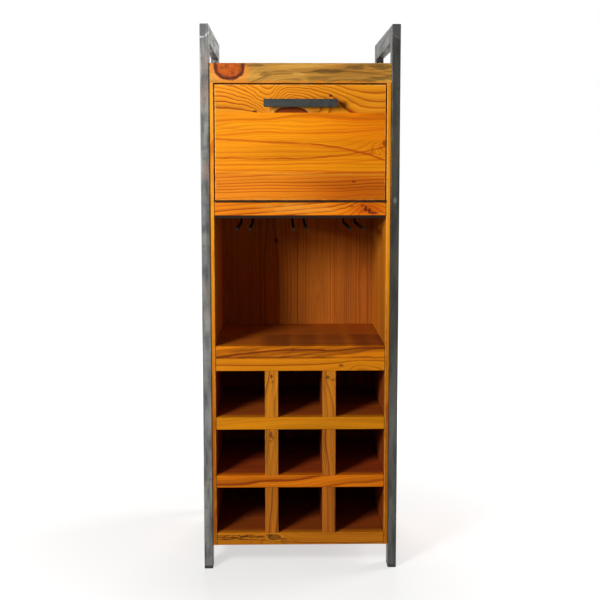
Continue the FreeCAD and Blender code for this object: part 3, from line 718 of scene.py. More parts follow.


# bay and cells set how dark the painted shade inside the carcass is.
def oiled_pine(node, pale, dark, ring=10, heart=(50, 0), taper=4, waves=1.5, slant=0, upright=False, seed=0.0,
               contrast=0.75, uneven=0.75, streaky=0.5, fine=0.16, gloss=0.45, swirls=(), fans=(), cones=(),
               lines=(), knots=(), tints_and_shade=(), stains=(), cracks=(), glue=None, joint=0.0, whole=(), edge=None,
               rubbed=0.4, bay=0.78, cells=0.54):
    """Gives a CAD board its own pine: pale and dark wood, ring width in mm, and its marks."""
    material, net, bsdf = new_material("pine_" + node)
    board = Board(node, net, upright, seed)
    shift = bend_grain(board, swirls, fans, cones)
    if glue is not None:
        deep = net.axes(board.place)["Y"]
        rear_plank = net.span(deep, glue * MM, (glue + GLUE_STEP) * MM)
        shift = net.scaled(rear_plank, GLUE_JUMP, shift)
    wood = net.group(rings, Vector=net.turned(board.grain, math.radians(slant)), Ring_Width=ring * MM,
                     Heart_Deep=heart[0] * MM, Heart_Across=heart[1] * MM, Taper=taper, Waves=waves,
                     Shift=shift, Seed=seed)
    broad = net.noise(board.grain, (2.2, 22.0, 22.0), seed + 3.1)
    colour = clear_wood(board, wood, broad, pale, dark, contrast, uneven, streaky, fine)
    height = net.scaled(wood["Late Wood"], 0.5, wood["Fibre"])
    colour, height = grown_marks(board, colour, height, lines, knots)
    colour, height = later_marks(board, colour, height, broad, tints_and_shade, stains, cracks)
    colour = wear_and_highlight_edges(board, colour, whole or [node], rubbed, edge or pale)
    if glue is not None:
        colour = net.paint(colour, rear_plank, 0.5, pale)
        off = net.size(net.minus(deep, glue * MM))
        colour = net.mix(net.span(off, 0.0005, 0.0015, 0.6, 0.0), colour, GLUE_BROWN)
    # Painted shade at the board's ends and inside the carcass.
    colour, deep_wood = paint_inside_shade(board, paint_joint_shade(board, colour, joint), bay, cells)
    rough = net.scaled(wood["Streaks"], 0.22, gloss - 0.08)
    rough = net.scaled(wood["Late Wood"], -0.07, rough)
    net.fill(bsdf, Base_Color=colour, Roughness=net.scaled(deep_wood, 0.2, rough), Specular_IOR_Level=SHINE,
             Normal=net.bump(height, 0.22, 0.0006))
    dress(nodes[node], material)
    print(node, "has", len(material.node_tree.nodes), "nodes")


# %% [markdown]
# ## The flap's three planks
# The top plank was sawn near a branch, so its rings close into nested arcs above the handle, with a cut-off
# knot below it. The middle plank is calm, with lines that gather at its right end. The bottom plank has
# fine, even rings.

# %% Finish the flap
ORANGE, RED = shade(216, 96, 8), shade(176, 62, 6)
flap = {
    "gloss": 0.4,
    "whole": ("flap_top_plank", "flap_middle_plank", "flap_bottom_plank"),
    # The flap's pale cream edge is a painted highlight where its rounded edges catch the lamp, over the wear.
    "edge": shade(255, 208, 116),
    "rubbed": 0.5,
}
oiled_pine("flap_top_plank", shade(255, 160, 26), shade(168, 44, 2), ring=17, heart=(40, 170), taper=1.5,
           waves=1.6, seed=1.3, contrast=0.95, uneven=0.3, fine=0.1, fans=[((-60, 1003), -13.0)],
           cones=[((-24, 1040), (142, 52), 46, 7.5)],
           knots=[((-20, 1013), (36, 12), 0.15, shade(150, 50, 8), shade(84, 26, 8), shade(252, 170, 66))],
           stains=[((65, 1050), (5, 4), shade(36, 16, 8), 0.95),
                   ((-98, 1015), (6, 2.5), shade(44, 18, 6), 0.9)], **flap)
oiled_pine("flap_middle_plank", shade(255, 156, 10), shade(212, 92, 2), ring=6.5, heart=(90, 60), taper=1.0,
           waves=1.7, seed=4.7, contrast=0.55, streaky=0.4, fine=0.26, swirls=[((215, 946), (60, 18), 5.0)],
           lines=[(946.8, -0.073, -0.39, -1.62, 2.3, RED, 0.8), (914.7, 0.036, 0.39, 0.94, 2.3, RED, 0.8),
                  (943, -0.1, -0.1, 0.0, 2.6, ORANGE, 0.4), (888, -0.01, 0.0, 0.0, 2.0, ORANGE, 0.7),
                  (903, 0.03, 0.1, 0.0, 1.6, ORANGE, 0.5), (969, -0.02, 0.3, 0.0, 1.6, ORANGE, 0.3)],
           tints_and_shade=[((150, 990), (120, 60), shade(238, 214, 150), 0.9)],
           stains=[((182, 947), (5, 7), shade(150, 44, 10), 0.8)], **flap)
oiled_pine("flap_bottom_plank", shade(248, 144, 26), shade(186, 74, 4), ring=5.0, heart=(40, 60), taper=2,
           waves=3.0, seed=7.9, contrast=0.9, fine=0.24,
           swirls=[((10, 820), (90, 14), 4.0), ((-110, 822), (60, 10), 2.5), ((170, 826), (50, 16), 3.5)],
           lines=[(881, -0.02, 0.05, 0.0, 2.4, shade(252, 176, 44), 0.5)],
           tints_and_shade=[((125, 850), (130, 40), shade(206, 172, 110), 0.95)],
           stains=[((116, 864), (6, 2.2), shade(40, 18, 6), 0.95)], **flap)

# %% [markdown]
# ## The top board
# This is older, greyed timber. A large red knot sits near its left end, cut by the top edge, and grey-brown
# streaks run through pale yellow wood on the right.

# %% Finish the top board
OLIVE, PALE_STREAK = shade(98, 74, 34), shade(240, 184, 84)
oiled_pine("top_board", shade(214, 156, 68), shade(120, 78, 28), ring=7, heart=(34, -60), taper=2, waves=4.5,
           slant=4, seed=2.2, contrast=0.65, streaky=2.3, fine=0.3, gloss=0.5, glue=12,
           swirls=[((-151, 1114), (52, 40), 3.0)],
           knots=[((-152, 1113), (33, 33), 0.1, shade(212, 96, 22), shade(74, 22, 24), shade(255, 150, 50))],
           tints_and_shade=[((100, 1100), (130, 16), shade(212, 200, 180), 0.9)],
           stains=[((0, 1074), (420, 7), shade(250, 146, 16), 0.7), ((15, 1112), (34, 4), PALE_STREAK, 0.5),
                   ((-5, 1094), (16, 4), PALE_STREAK, 0.5), ((60, 1100), (44, 6), OLIVE, 0.7),
                   ((147, 1109), (60, 7), OLIVE, 0.75), ((175, 1087), (32, 6), OLIVE, 0.65),
                   ((-77, 1095), (14, 6), OLIVE, 0.6), ((-101, 1113), (26, 4), OLIVE, 0.6)])

# %% [markdown]
# ## Shelves around the bay
# The shelf fronts are warmer and darker than the flap. The flap shelf has a broken knot near its right end.
# The counter shows bold grain that slants across its front, so five resin lines are set side by side along
# it.

# %% Finish the shelves around the bay
RED_BROWN, DARK_KNOT = shade(126, 44, 12), shade(92, 32, 6)
COUNTER_LINE, COUNTER_SLOPE = shade(120, 50, 4), 0.13
# How dark the painted shade is at the shelves' ends, where they meet the sides.
SHELF_JOINT_SHADE = 0.75
oiled_pine("flap_shelf", shade(255, 142, 14), shade(160, 46, 2), ring=3.6, heart=(40, 70), taper=1, waves=2.6,
           slant=3.5, seed=3.3, contrast=0.9, uneven=0.5, glue=-40, joint=SHELF_JOINT_SHADE,
           swirls=[((145, 806), (40, 26), 3.0)], tints_and_shade=[((146, 806), (34, 18), shade(216, 160, 100), 0.9)],
           stains=[((-4, 806), (90, 12), shade(255, 184, 70), 0.35), ((134, 814), (7, 3), RED_BROWN, 0.9),
                   ((142, 806), (4, 7), DARK_KNOT, 0.95), ((150, 802), (4, 6), DARK_KNOT, 0.95),
                   ((158, 798), (11, 4), RED_BROWN, 0.9), ((112, 812), (6, 3), RED_BROWN, 0.6)])
slanting = [(490 - COUNTER_SLOPE * across, COUNTER_SLOPE, 0.1, 0.0, 4.6, COUNTER_LINE, 0.7)
            for across in (-150, -85, -20, 50, 120)]
oiled_pine("counter_board", shade(232, 132, 8), shade(120, 42, 2), ring=7, heart=(26, -60), taper=2,
           waves=3.6, slant=8, seed=5.4, contrast=1.0, uneven=0.5, glue=-34, joint=SHELF_JOINT_SHADE,
           lines=[(478.5, 0.0, 0.0, 0.0, 2.2, shade(96, 46, 8), 0.7), *slanting],
           stains=[((-17, 496), (6, 3), shade(56, 24, 8), 0.9)])
oiled_pine("rack_top_board", shade(234, 140, 12), shade(150, 66, 4), ring=5.5, heart=(20, 70), taper=1,
           waves=1.6, seed=6.1, contrast=0.9, joint=SHELF_JOINT_SHADE, swirls=[((140, 452), (40, 14), 2.0)],
           stains=[((89, 460), (6, 4), shade(96, 52, 14), 0.8)])

# %% [markdown]
# ## Shelves between the cells
# The two lower shelves are plainer boards, one yellow and one red. The bottom board has a soft knot and open
# cracks at its left end. The tops of these boards are the floors of the cells.

# %% Finish the shelves between the cells
oiled_pine("upper_bottle_shelf", shade(224, 138, 12), shade(160, 78, 4), ring=8, heart=(30, 70), taper=1,
           waves=1.6, seed=8.2, contrast=0.85, streaky=0.8, glue=-30, joint=SHELF_JOINT_SHADE)
oiled_pine("lower_bottle_shelf", shade(234, 126, 12), shade(132, 36, 0), ring=8, heart=(24, 70), taper=2,
           waves=2.4, slant=2, seed=9.5, contrast=1.0, uneven=0.4, streaky=0.8, glue=-45, joint=SHELF_JOINT_SHADE)
oiled_pine("bottom_board", shade(220, 130, 22), shade(160, 78, 8), ring=6, heart=(40, 50), taper=2, waves=2.2,
           seed=11.2, contrast=0.8, glue=-20, joint=SHELF_JOINT_SHADE, swirls=[((-60, 64), (34, 20), 2.0)],
           lines=[(58, -0.04, 0.2, 0.0, 1.6, shade(110, 60, 14), 0.6)],
           knots=[((-58, 70), (15, 7), 0.9, shade(160, 96, 22), shade(112, 62, 16), shade(232, 150, 36))],
           stains=[((-70, 75), (7, 4), shade(70, 36, 10), 0.7), ((-42, 66), (12, 3), shade(84, 44, 12), 0.6)],
           cracks=[((-147, 74), 90, 0.9), ((-133, 70), 110, 1.1), ((-157, 66), 80, 0.9),
                   ((-112, 72), 70, 0.8)])

# %% [markdown]
# ## Dividers
# These boards stand upright, so their grain is turned a quarter. Each is a different offcut with its own
# seed, and three have dark specks. From row to row the rings get wider. The fronts are painted darker row by
# row downwards, and the right board of each pair darker still: painted shade, where the lamp's light falls
# off.

# %% Finish the dividers
SIDES = (("left", -1), ("right", 1))
SPECK = shade(74, 40, 12)
divider_specks = {
    "top_row_left_divider": [((-64, 436), (3, 5), SPECK, 0.9), ((-62, 424), (4, 3), SPECK, 0.6)],
    "top_row_right_divider": [((59, 434), (8, 4), SPECK, 0.75), ((70, 428), (6, 4), SPECK, 0.5)],
    "middle_row_left_divider": [((-65, 304), (4, 8), SPECK, 0.7), ((-60, 298), (3, 6), SPECK, 0.6),
                                ((-66, 290), (5, 3), SPECK, 0.5)],
}
for number, row in enumerate(("top_row", "middle_row", "bottom_row")):
    for side, hand in SIDES:
        name = f"{row}_{side}_divider"
        # Painted shade: lower rows and right-hand boards are painted darker.
        darker = 8 * number + (9 if hand > 0 else 0)
        oiled_pine(name, shade(214 - darker, 131 - darker, 28), shade(112, 50, 6), ring=4.6 + 0.4 * number,
                   heart=(16, 70 * hand), taper=2, waves=2.4, upright=True, seed=13.0 + 2.3 * number + hand,
                   contrast=0.8, streaky=1.3, fine=0.5, joint=0.6,
                   swirls=[((64 * hand, 440 - 150 * number), (26, 40), 1.1 - 0.5 * number)],
                   stains=divider_specks.get(name, ()))

# %% [markdown]
# ## Sides and back
# The side boards show narrow front edges, bright at the top and painted darker below, as painted shade.
# The back boards get finer rings from left to right, so that their seams show, and one has a black knot.

# %% Finish the sides and the back
for side, hand in SIDES:
    oiled_pine(f"{side}_side_board", shade(252, 160, 26), shade(206, 98, 8), ring=12, heart=(20, 60 * hand),
               taper=2, waves=2.4, upright=True, seed=21.0 + hand, streaky=0.3, edge=shade(255, 196, 96),
               # This broad tint is painted shade: the side boards' edges darker towards the bottom.
               tints_and_shade=[((191 * hand, 220), (60, 330), shade(182, 148, 110), 0.95)])
back_knots = {2: [((-54, 712), (6, 8), shade(30, 14, 12), 0.95)]}
for number in range(1, 5):
    oiled_pine(f"back_board_{number}", shade(224, 134, 26), shade(150, 68, 8), ring=10 - 1.5 * number,
               heart=(24, 64 - 22 * number), taper=1, waves=2.4, upright=True, seed=25.0 + 1.7 * number,
               contrast=0.5 + 0.08 * number, gloss=0.55, stains=back_knots.get(number, ()))

# %% [markdown]
# ## Bare steel
# The side frames are mill steel tube, waxed but not painted. Rolling leaves soft patches and drawn lines,
# rags leave smears, old rust a warm tint, handling scratches, and damp small specks. The Along input
# squeezes the pattern along the tube, so that posts and rails can share it.

# %% Group for the marks on steel
steel_marks, given, result = new_group(
    "steel_marks", ["Patches", "Drawn", "Specks", "Smears", "Tint", "Scratches"], Vector=ORIGIN, Along=UNIT,
    Seed=0.0)
where, seed = given["Vector"], given["Seed"]
laid = steel_marks.vectors("MULTIPLY", where, given["Along"])
patches = steel_marks.noise(laid, 70.0, seed, 3.0, 0.55)
specks = steel_marks.noise(where, 420.0, seed, 1.0)
smears = steel_marks.noise(where, (34.0, 34.0, 90.0), seed, 3.0)
tints = steel_marks.noise(laid, (38.0, 38.0, 90.0), seed)
aslant = steel_marks.node("Mapping", Vector=where, Rotation=(0.5, 0.35, 0.4)).outputs["Vector"]
hairs = steel_marks.noise(aslant, (1400.0, 1400.0, 22.0), seed, 1.0)
steel_marks.fill(result, Patches=steel_marks.span(patches, 0.32, 0.68),
                 Drawn=steel_marks.noise(laid, 900.0, seed),
                 Specks=steel_marks.span(specks, 0.66, 0.74), Smears=steel_marks.span(smears, 0.54, 0.72),
                 Tint=steel_marks.span(tints, 0.52, 0.7), Scratches=steel_marks.span(hairs, 0.68, 0.76))

# %% [markdown]
# ## Ground welds
# The rails are mitred and welded to the posts, and the welds are ground flat. The disc leaves a pale curved
# rim, and heat leaves a blue-grey stain inside it. A thin shell of a ball round the corner cuts every face
# of the tube in a matching arc.

# %% Group for a ground weld
ground_weld, given, result = new_group("ground_weld", ["Rim", "Heat"], Vector=ORIGIN, Centre=ORIGIN,
                                       Radius=0.018, Seed=0.0)
away = ground_weld.vectors("SUBTRACT", given["Vector"], given["Centre"])
uneven = ground_weld.noise(given["Vector"], 90.0, given["Seed"])
far = ground_weld.sway(uneven, 0.008, ground_weld.vectors("LENGTH", away))
off = ground_weld.size(ground_weld.minus(far, given["Radius"]))
shell = ground_weld.span(off, 0.0008, 0.0024, 1.0, 0.0)
ground_weld.fill(result, Rim=ground_weld.times(shell, ground_weld.span(uneven, 0.36, 0.5)),
                 Heat=ground_weld.span(ground_weld.over(far, given["Radius"]), 0.7, 1.6, 1.0, 0.0))

# %% [markdown]
# ## A finish for a tube
# A tube is painted in the order in which its marks came: rolling, rust and smears, then wear. Single spots,
# such as a thumb's smudge, are placed by their height. Shoes and brooms rub the lower part of a post paler.
# The metal is only partly metallic, because wax and scale cover it.

# %% Waxed mill steel
RUBBED_TOP, RUBBED_BOTTOM = 0.6, 0.15
GROUND_RADIUS = 0.019
SPECK_BROWN, SCRATCH, HEAT_BLUE = shade(52, 46, 42), shade(190, 192, 192), shade(84, 84, 88)


def bare_steel(node, along, seed, welds, pale, dark, rim, warm, foot, spots=()):
    """Waxed mill steel for one tube. The welds are the places of its ground corners."""
    low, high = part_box(node)
    centre, half = (low + high) / 2, (high - low) / 2
    material, net, bsdf = new_material("steel_" + node)
    place = net.place()
    marks = net.group(steel_marks, Vector=place, Along=along, Seed=seed)
    colour = net.mix(marks["Patches"], dark, pale)
    for mark, strength, tint in (("Drawn", 0.35, dark), ("Tint", 0.5, warm), ("Smears", 0.5, dark)):
        colour = net.paint(colour, marks[mark], strength, tint)
    for level, (across, up), tint, strength in spots:
        spot = net.group(swirl, Vector=place, Centre=(centre.x, low.y, level * MM),
                         Reach=(across * MM, 0.02, up * MM), Rings=1.0)["Shift"]
        spot = net.times(spot, net.span(marks["Drawn"], 0.3, 0.7, 0.5, 1.2))
        colour = net.mix(net.span(spot, 0.15, 0.9, 0.0, strength), colour, tint)
    rubbed = net.span(net.axes(place)["Z"], RUBBED_TOP, RUBBED_BOTTOM, 0.0, foot)
    rubbed = net.times(rubbed, net.span(marks["Patches"], 0.0, 1.0, 0.45, 1.35))
    colour = net.mix(rubbed, colour, rim)
    colour = net.paint(colour, marks["Specks"], 0.6, SPECK_BROWN)
    colour = net.paint(colour, marks["Scratches"], 0.3, SCRATCH)
    for corner in welds:
        weld = net.group(ground_weld, Vector=place, Centre=corner, Radius=GROUND_RADIUS, Seed=seed)
        colour = net.paint(colour, weld["Heat"], 0.45, HEAT_BLUE)
        colour = net.paint(colour, weld["Rim"], 0.8, rim)
    from_middle = net.vectors("SUBTRACT", place, tuple(centre))
    edge_mask = net.group(edge_wear_and_highlight, Vector=from_middle, Half_Size=tuple(half), Width=0.0016, Seed=seed)
    colour = net.paint(colour, edge_mask["Edge"], 0.3, pale)
    rough = net.scaled(marks["Specks"], 0.25, net.span(marks["Patches"], 0.0, 1.0, 0.5, 0.36))
    height = net.minus(marks["Drawn"], marks["Specks"])
    net.fill(bsdf, Base_Color=colour, Metallic=0.6, Roughness=rough, Normal=net.bump(height, 0.12, 0.0003))
    dress(nodes[node], material)


print("posts are rubbed below", RUBBED_TOP, "m")

# %% [markdown]
# ## The side frames
# The left frame is blotched, and its tones are painted pale as painted light from the lamp on its side. The
# right frame's tones are painted darker as painted shade. Only the front posts get single spots, since they
# are seen first.

# %% Finish the side frames
UP, BACK = (1, 1, 0.16), (1, 0.16, 1)
WELD_X, WELD_MIDDLE, WELD_HALF, WELD_Z = 0.213, 0.013, 0.208, 1.191
SMEAR, RUST, BRIGHT = shade(44, 46, 48), shade(150, 126, 110), shade(190, 190, 184)
# Painted light and shade: the left frame's tones are pale and the right frame's dark.
lit_and_shaded_frame_tones = {
    "left": {"pale": shade(134, 135, 131), "dark": shade(60, 61, 60), "rim": shade(190, 188, 182),
             "warm": shade(142, 126, 114), "foot": 0.06},
    "right": {"pale": shade(70, 69, 63), "dark": shade(38, 38, 35), "rim": shade(100, 100, 95),
              "warm": shade(72, 64, 52), "foot": 0.5},
}
post_spots = {
    "left": [(1002, (14, 16), SMEAR, 0.5), (762, (14, 12), SMEAR, 0.6), (670, (14, 20), SMEAR, 0.45),
             (1052, (14, 34), RUST, 0.45), (888, (14, 26), RUST, 0.4), (560, (9, 30), BRIGHT, 0.25)],
    # The pale spot at 824 mm on the right post is a dent with a painted highlight.
    "right": [(824, (5, 8), shade(128, 130, 126), 0.6), (560, (12, 60), shade(48, 48, 45), 0.4),
              (330, (9, 40), shade(96, 98, 96), 0.3)],
}
for number, (side, hand) in enumerate(SIDES):
    front, rear = [(WELD_X * hand, WELD_MIDDLE + way * WELD_HALF, WELD_Z) for way in (-1, 1)]
    tones = lit_and_shaded_frame_tones[side]
    bare_steel(f"{side}_front_post", UP, 3.0 + number, [front], **tones, spots=post_spots[side])
    bare_steel(f"{side}_rear_post", UP, 5.0 + number, [rear], **tones)
    bare_steel(f"{side}_top_rail", BACK, 7.0 + number, [front, rear], **tones)
    bare_steel(f"{side}_frame_lugs", UNIT, 9.0 + number, [], **tones)
    print(side, "frame finished")

# %% [markdown]
# ## Handle, rack and hinge
# The handle and the rack are hot-rolled bar with a dark, waxed skin. The hinge is brass that has gone brown.
# All share one recipe: a base colour, a blotchy second colour, a fine grain that lifts the surface, and a
# rubbed tone on top of the grain.

# %% A finish for the small metal pieces


def small_metal(name, base, blotch, rubbed, metallic, rough, shine, grain, lift, members=()):
    """One material for a few small pieces: blotches, fine grain and a rubbed tone on the grain."""
    material, net, bsdf = new_material(name)
    place = net.place()
    patches = net.noise(place, 60.0, 2.0, 3.0, 0.6)
    grit = net.noise(place, grain, 4.0)
    colour = net.mix(net.span(patches, 0.35, 0.65), base, blotch)
    colour = net.mix(net.span(grit, 0.52, 0.78, 0.0, 0.6), colour, rubbed)
    net.fill(bsdf, Base_Color=colour, Metallic=metallic, Specular_IOR_Level=shine,
             Roughness=net.span(patches, 0.3, 0.7, rough - 0.07, rough + 0.1),
             Normal=net.bump(grit, lift, 0.0004))
    for member in members:
        dress(nodes[member], material)
    print(name, "covers", len(members), "nodes")
    return material


small_metal("waxed_black_steel", shade(28, 32, 32), shade(46, 48, 44), shade(92, 96, 92), metallic=0.5,
            rough=0.5, shine=0.5, grain=700.0, lift=0.35, members=["handle_bar", "handle_legs"])
small_metal("bronzed_rack_steel", shade(26, 18, 14), shade(34, 23, 16), shade(48, 33, 22), metallic=0.1,
            rough=0.65, shine=0.15, grain=500.0, lift=0.25, members=["rack_plate", "rack_bars"])
small_metal("aged_brass", shade(58, 36, 16), shade(38, 24, 12), shade(112, 76, 34), metallic=0.5, rough=0.45,
            shine=0.2, grain=380.0, lift=0.15, members=["hinge_shelf_leaf", "hinge_flap_leaf", "hinge_pin"])

# %% [markdown]
# ## Zinc
# The stays and the screws are zinc plated, which shows as a patchwork of flat crystals. Each cell of a
# Voronoi texture has its own colour, so one channel picks a crystal's tone and another its height.

# %% Finish the zinc
zinc, net, bsdf = new_material("zinc_plate")
place = net.place()
spangle = net.node("TexVoronoi", Vector=place, Scale=420.0)
crystal = net.node("SeparateColor", Color=spangle.outputs["Color"]).outputs
dulled = net.noise(place, 90.0, 6.0, 3.0)
colour = net.mix(crystal[0], shade(150, 154, 158), shade(188, 191, 193))
colour = net.mix(net.span(dulled, 0.45, 0.75, 0.0, 0.6), colour, shade(124, 124, 120))
net.fill(bsdf, Base_Color=colour, Metallic=0.8, Roughness=net.span(dulled, 0.3, 0.7, 0.3, 0.48),
         Normal=net.bump(crystal[1], 0.08, 0.0002))
zinc_nodes = ["handle_screws", "catch_plate"]
for piece in ("stay_bracket", "stay_rivet", "stay_arm", "stay_guide", "guide_plate"):
    zinc_nodes += [f"{side}_{piece}" for side, hand in SIDES]
for name in zinc_nodes:
    dress(nodes[name], zinc)
print("zinc pieces:", len(zinc_nodes))

# %% [markdown]
# ## Plastic and hidden beech
# The foot caps and the catch are moulded plastic with a pebbled skin, for which the same recipe serves with
# no metal in it. The loose tenons are pale beech, seen only when the cabinet is taken apart.

# %% Finish the plastic and the beech
small_metal("moulded_foot_plastic", shade(38, 38, 40), shade(46, 46, 47), shade(64, 64, 64), metallic=0.0,
            rough=0.55, shine=0.5, grain=1100.0, lift=0.3, members=["foot_caps"])
small_metal("moulded_catch_plastic", shade(96, 62, 34), shade(108, 70, 38), shade(128, 88, 52), metallic=0.0,
            rough=0.5, shine=0.5, grain=1000.0, lift=0.25, members=["catch_magnet"])
for name in ("shelf_tenons", "top_tenons"):
    oiled_pine(name, shade(222, 178, 128), shade(186, 134, 86), ring=4, heart=(90, 0), taper=6, waves=1.0,
               seed=31.0, contrast=0.5, streaky=0.7, gloss=0.6, bay=1.0, cells=1.0)

# %% [markdown]
# ## Tools for the small pieces
# Screws, nails and welds are each modelled once and then copied. Two helpers start a disc and round its rim.
# Another copies a master to many places, turns each copy to face outwards, joins the copies and lets them
# ride on a body of the cabinet.

# %% Helpers for modelling


def turned(facing, along):
    """The turn that points a master's Z to facing and its X to along."""
    z = Vector(facing).normalized()
    x = (Vector(along) - Vector(along).dot(z) * z).normalized()
    return Matrix((x, z.cross(x), z)).transposed().to_euler()


def set_copies(master, name, spots, body, material):
    """Copies the master to each spot in mm, joins the copies into one piece, and finishes it."""
    bpy.ops.object.select_all(action="DESELECT")
    for place, facing, along in spots:
        copy = master.copy()
        copy.data = master.data.copy()
        scene.collection.objects.link(copy)
        copy.location = Vector(place) * MM
        copy.rotation_euler = turned(facing, along)
        copy.select_set(True)
        bpy.context.view_layer.objects.active = copy
    bpy.ops.object.transform_apply(location=True, rotation=True, scale=True)
    bpy.ops.object.join()
    piece = bpy.context.object
    piece.name = piece.data.name = name
    dress(piece, material)
    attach(piece, body)
    print(name, "copies:", len(spots), "faces:", len(piece.data.polygons))


def disc(points, radius, height, middle):
    """A flat cylinder, with sizes in mm, to start a screw or a nail from."""
    bpy.ops.object.select_all(action="DESELECT")
    bpy.ops.mesh.primitive_cylinder_add(vertices=points, radius=radius * MM, depth=height * MM,
                                        location=(0, 0, middle * MM))
    bpy.ops.object.transform_apply(location=True, rotation=True, scale=True)
    return bpy.context.object


def round_rim(piece, above, size, steps, profile=0.5):
    """Bevels the rim of a disc that lies above a height, with sizes in mm."""
    bpy.ops.object.mode_set(mode="EDIT")
    bpy.ops.mesh.select_mode(type="EDGE")
    bpy.ops.mesh.select_all(action="DESELECT")
    form = bmesh.from_edit_mesh(piece.data)
    for rim in form.edges:
        if all(point.co.z > above * MM for point in rim.verts):
            rim.select_set(True)
    bmesh.update_edit_mesh(piece.data)
    bpy.ops.mesh.bevel(offset=size * MM, segments=steps, profile=profile)
    bpy.ops.object.mode_set(mode="OBJECT")


print("helpers ready")

# %% [markdown]
# ## A pan-head screw
# A pan head is a short cylinder with a rounded top rim and a cross recess. The rim is bevelled in three
# steps, and two booleans cut the recess, because they leave cleaner walls than an inset would.

# %% Model a pan-head screw
HEAD_RADIUS, HEAD_HEIGHT, HEAD_ROUNDING = 4.6, 2.4, 1.5
RECESS_LONG, RECESS_WIDE, RECESS_DEEP = 5.0, 1.1, 1.3


def cut_cross(head, top):
    """Cuts a cross recess into a screw head."""
    for across, along in ((RECESS_LONG, RECESS_WIDE), (RECESS_WIDE, RECESS_LONG)):
        bpy.ops.object.select_all(action="DESELECT")
        bpy.ops.mesh.primitive_cube_add(size=1, location=(0, 0, top * MM))
        cutter = bpy.context.object
        cutter.scale = (across * MM, along * MM, 2 * RECESS_DEEP * MM)
        bpy.context.view_layer.objects.active = head
        cut = head.modifiers.new("recess", "BOOLEAN")
        cut.object = cutter
        cut.solver = "EXACT"
        bpy.ops.object.modifier_apply(modifier=cut.name)
        bpy.data.objects.remove(cutter)


pan_screw = disc(24, HEAD_RADIUS, HEAD_HEIGHT, HEAD_HEIGHT / 2)
round_rim(pan_screw, 0.9 * HEAD_HEIGHT, HEAD_ROUNDING, steps=3, profile=0.55)
cut_cross(pan_screw, HEAD_HEIGHT)
bpy.ops.object.shade_smooth_by_angle(angle=math.radians(35))
print("screw faces:", len(pan_screw.data.polygons))

# %% [markdown]
# ## Lug screws
# Each welded lug holds the carcass with one screw, at three heights on each post. Nobody lines up such
# screws, so each is turned by its own angle.

# %% Set the lug screws
FRAME_MIDDLE = 13
LUG_OUTER, LUG_MIDDLE, LUG_HEIGHTS = 215, 155, (132.5, 564, 995.5)
lug_spots = []
for hand in (-1, 1):
    for way in (-1, 1):
        for number, z in enumerate(LUG_HEIGHTS):
            lean = 0.5 + 0.9 * number + 0.6 * way
            spot = (hand * LUG_OUTER, FRAME_MIDDLE + way * LUG_MIDDLE, z)
            lug_spots.append((spot, (hand, 0, 0), (0, math.cos(lean), math.sin(lean))))
set_copies(pan_screw, "lug_screws", lug_spots, "cabinet", zinc)

# %% [markdown]
# ## Screws under the rack and on the stays
# The same screw holds the rack's plate from below and the stays' brackets on the back of the flap. They show
# from under the shelf, or with the flap open.

# %% Set the rack and bracket screws
RACK_LOW, BRACKET_X, BRACKET_BACK = 789.5, 164, -167
rack_spots = [((x, y, RACK_LOW), (0, 0, -1), (1, 0.3 * x / 60, 0))
              for x in (-174, -62, 62, 174) for y in (-150, 100)]
set_copies(pan_screw, "rack_screws", rack_spots, "cabinet", zinc)
bracket_spots = [((hand * BRACKET_X, BRACKET_BACK, z), (0, 1, 0), (1, 0, 0.4))
                 for hand in (-1, 1) for z in (941, 955)]
set_copies(pan_screw, "stay_bracket_screws", bracket_spots, "flap", zinc)
bpy.data.objects.remove(pan_screw)

# %% [markdown]
# ## Weld beads
# A bead is a row of overlapping ripples, like a stack of coins pushed over. One ripple is a flattened ball
# with its lower half cut off. An Array modifier repeats it, and a little random movement keeps the ripples
# from looking stamped.

# %% Model a weld bead
RIPPLE_RADIUS, RIPPLE_STEP, RIPPLE_SHAKE = 2.3, 1.5, 0.12


def weld_bead(count):
    """A bead along X, standing on the XY plane."""
    bpy.ops.object.select_all(action="DESELECT")
    bpy.ops.mesh.primitive_uv_sphere_add(segments=14, ring_count=8, radius=RIPPLE_RADIUS * MM)
    bead = bpy.context.object
    bpy.ops.object.mode_set(mode="EDIT")
    bpy.ops.mesh.select_all(action="SELECT")
    bpy.ops.transform.resize(value=(0.75, 1.0, 0.5))
    bpy.ops.mesh.bisect(plane_co=(0, 0, -0.2 * MM), plane_no=(0, 0, 1), clear_inner=True, use_fill=True)
    bpy.ops.object.mode_set(mode="OBJECT")
    row = bead.modifiers.new("row", "ARRAY")
    row.count = count
    row.use_relative_offset = False
    row.use_constant_offset = True
    row.constant_offset_displace = (RIPPLE_STEP * MM, 0, 0)
    bpy.ops.object.modifier_apply(modifier=row.name)
    bpy.ops.object.mode_set(mode="EDIT")
    bpy.ops.mesh.select_all(action="SELECT")
    bpy.ops.transform.translate(value=(-RIPPLE_STEP / 2 * MM * (count - 1), 0, 0))
    bpy.ops.transform.vertex_random(offset=RIPPLE_SHAKE * MM, uniform=0.6, normal=0.0, seed=5)
    bpy.ops.object.mode_set(mode="OBJECT")
    bpy.ops.object.shade_smooth()
    return bead


lug_bead = weld_bead(17)
print("bead points:", len(lug_bead.data.vertices))

# %% [markdown]
# ## Setting the welds
# Beads run down the seam between each lug and its post, and short ones fill the inner corners under the
# rails. Fresh welds are darker than the tube and a little blue.

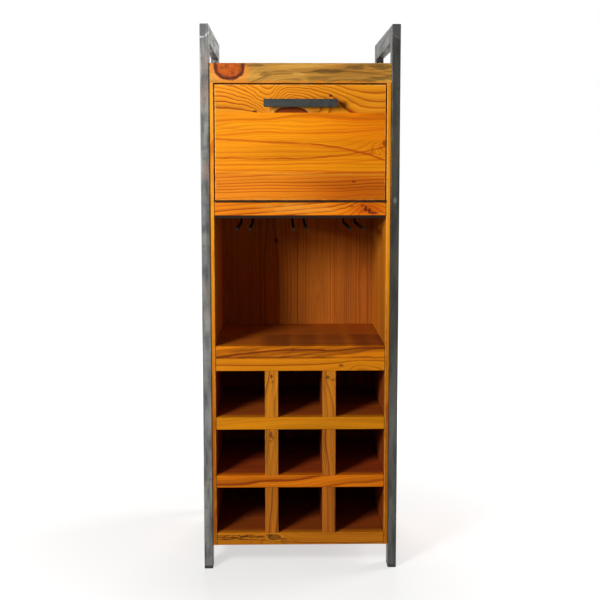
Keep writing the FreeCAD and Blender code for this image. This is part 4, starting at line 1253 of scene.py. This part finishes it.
# %% Set the welds
LUG_SEAM = 170
CORNER_X, CORNER_Y, CORNER_Z = 205.5, 169.6, 1161.6
weld_metal = small_metal("weld_metal", shade(86, 90, 96), shade(64, 64, 68), shade(140, 142, 144),
                         metallic=0.6, rough=0.42, shine=0.5, grain=500.0, lift=0.3)
lug_seams = [((hand * LUG_OUTER, FRAME_MIDDLE + way * LUG_SEAM, z), (hand, 0, 0), (0, 0, 1))
             for hand in (-1, 1) for way in (-1, 1) for z in LUG_HEIGHTS]
set_copies(lug_bead, "lug_welds", lug_seams, "cabinet", weld_metal)
bpy.data.objects.remove(lug_bead)
corner_bead = weld_bead(10)
inner_corners = [((hand * CORNER_X, FRAME_MIDDLE + way * CORNER_Y, CORNER_Z), (0, -way, -1), (1, 0, 0))
                 for hand in (-1, 1) for way in (-1, 1)]
set_copies(corner_bead, "corner_welds", inner_corners, "cabinet", weld_metal)
bpy.data.objects.remove(corner_bead)

# %% [markdown]
# ## Nails in the back
# The back boards are nailed to every shelf with two small nails each. A nail head is a thin disc with a
# softened rim, hammered almost level with the wood.

# %% Model a nail and set the back nails
BACK_FACE, NAIL_FROM_MIDDLE = 146, 28
SHELF_MIDDLES, BACK_BOARD_MIDDLES = (66, 198, 330, 462, 490, 806), (-140, -47, 47, 140)
nail = disc(12, radius=2.2, height=0.8, middle=0.2)
round_rim(nail, above=0.5, size=0.4, steps=2)
bpy.ops.object.shade_smooth_by_angle(angle=math.radians(40))
nail_spots = [((x + side, BACK_FACE, z + 1.5 * (-1) ** number), (0, 1, 0), (1, 0, 0))
              for number, x in enumerate(BACK_BOARD_MIDDLES) for side in (-NAIL_FROM_MIDDLE, NAIL_FROM_MIDDLE)
              for z in SHELF_MIDDLES]
set_copies(nail, "back_nails", nail_spots, "cabinet", weld_metal)
bpy.data.objects.remove(nail)

# %% [markdown]
# ## Sizes and finish
# The dressed cabinet should fill the same box as the bare frame, apart from screw heads that stand out a
# little. How far it stands past the frame is printed.

# %% Set down the sizes and finish
seen_low, seen_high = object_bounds()
past = [round((seen - bare) / MM, 2) for seen, bare in zip(seen_high, cad_high)]
print("stands past the frame in mm:", past)
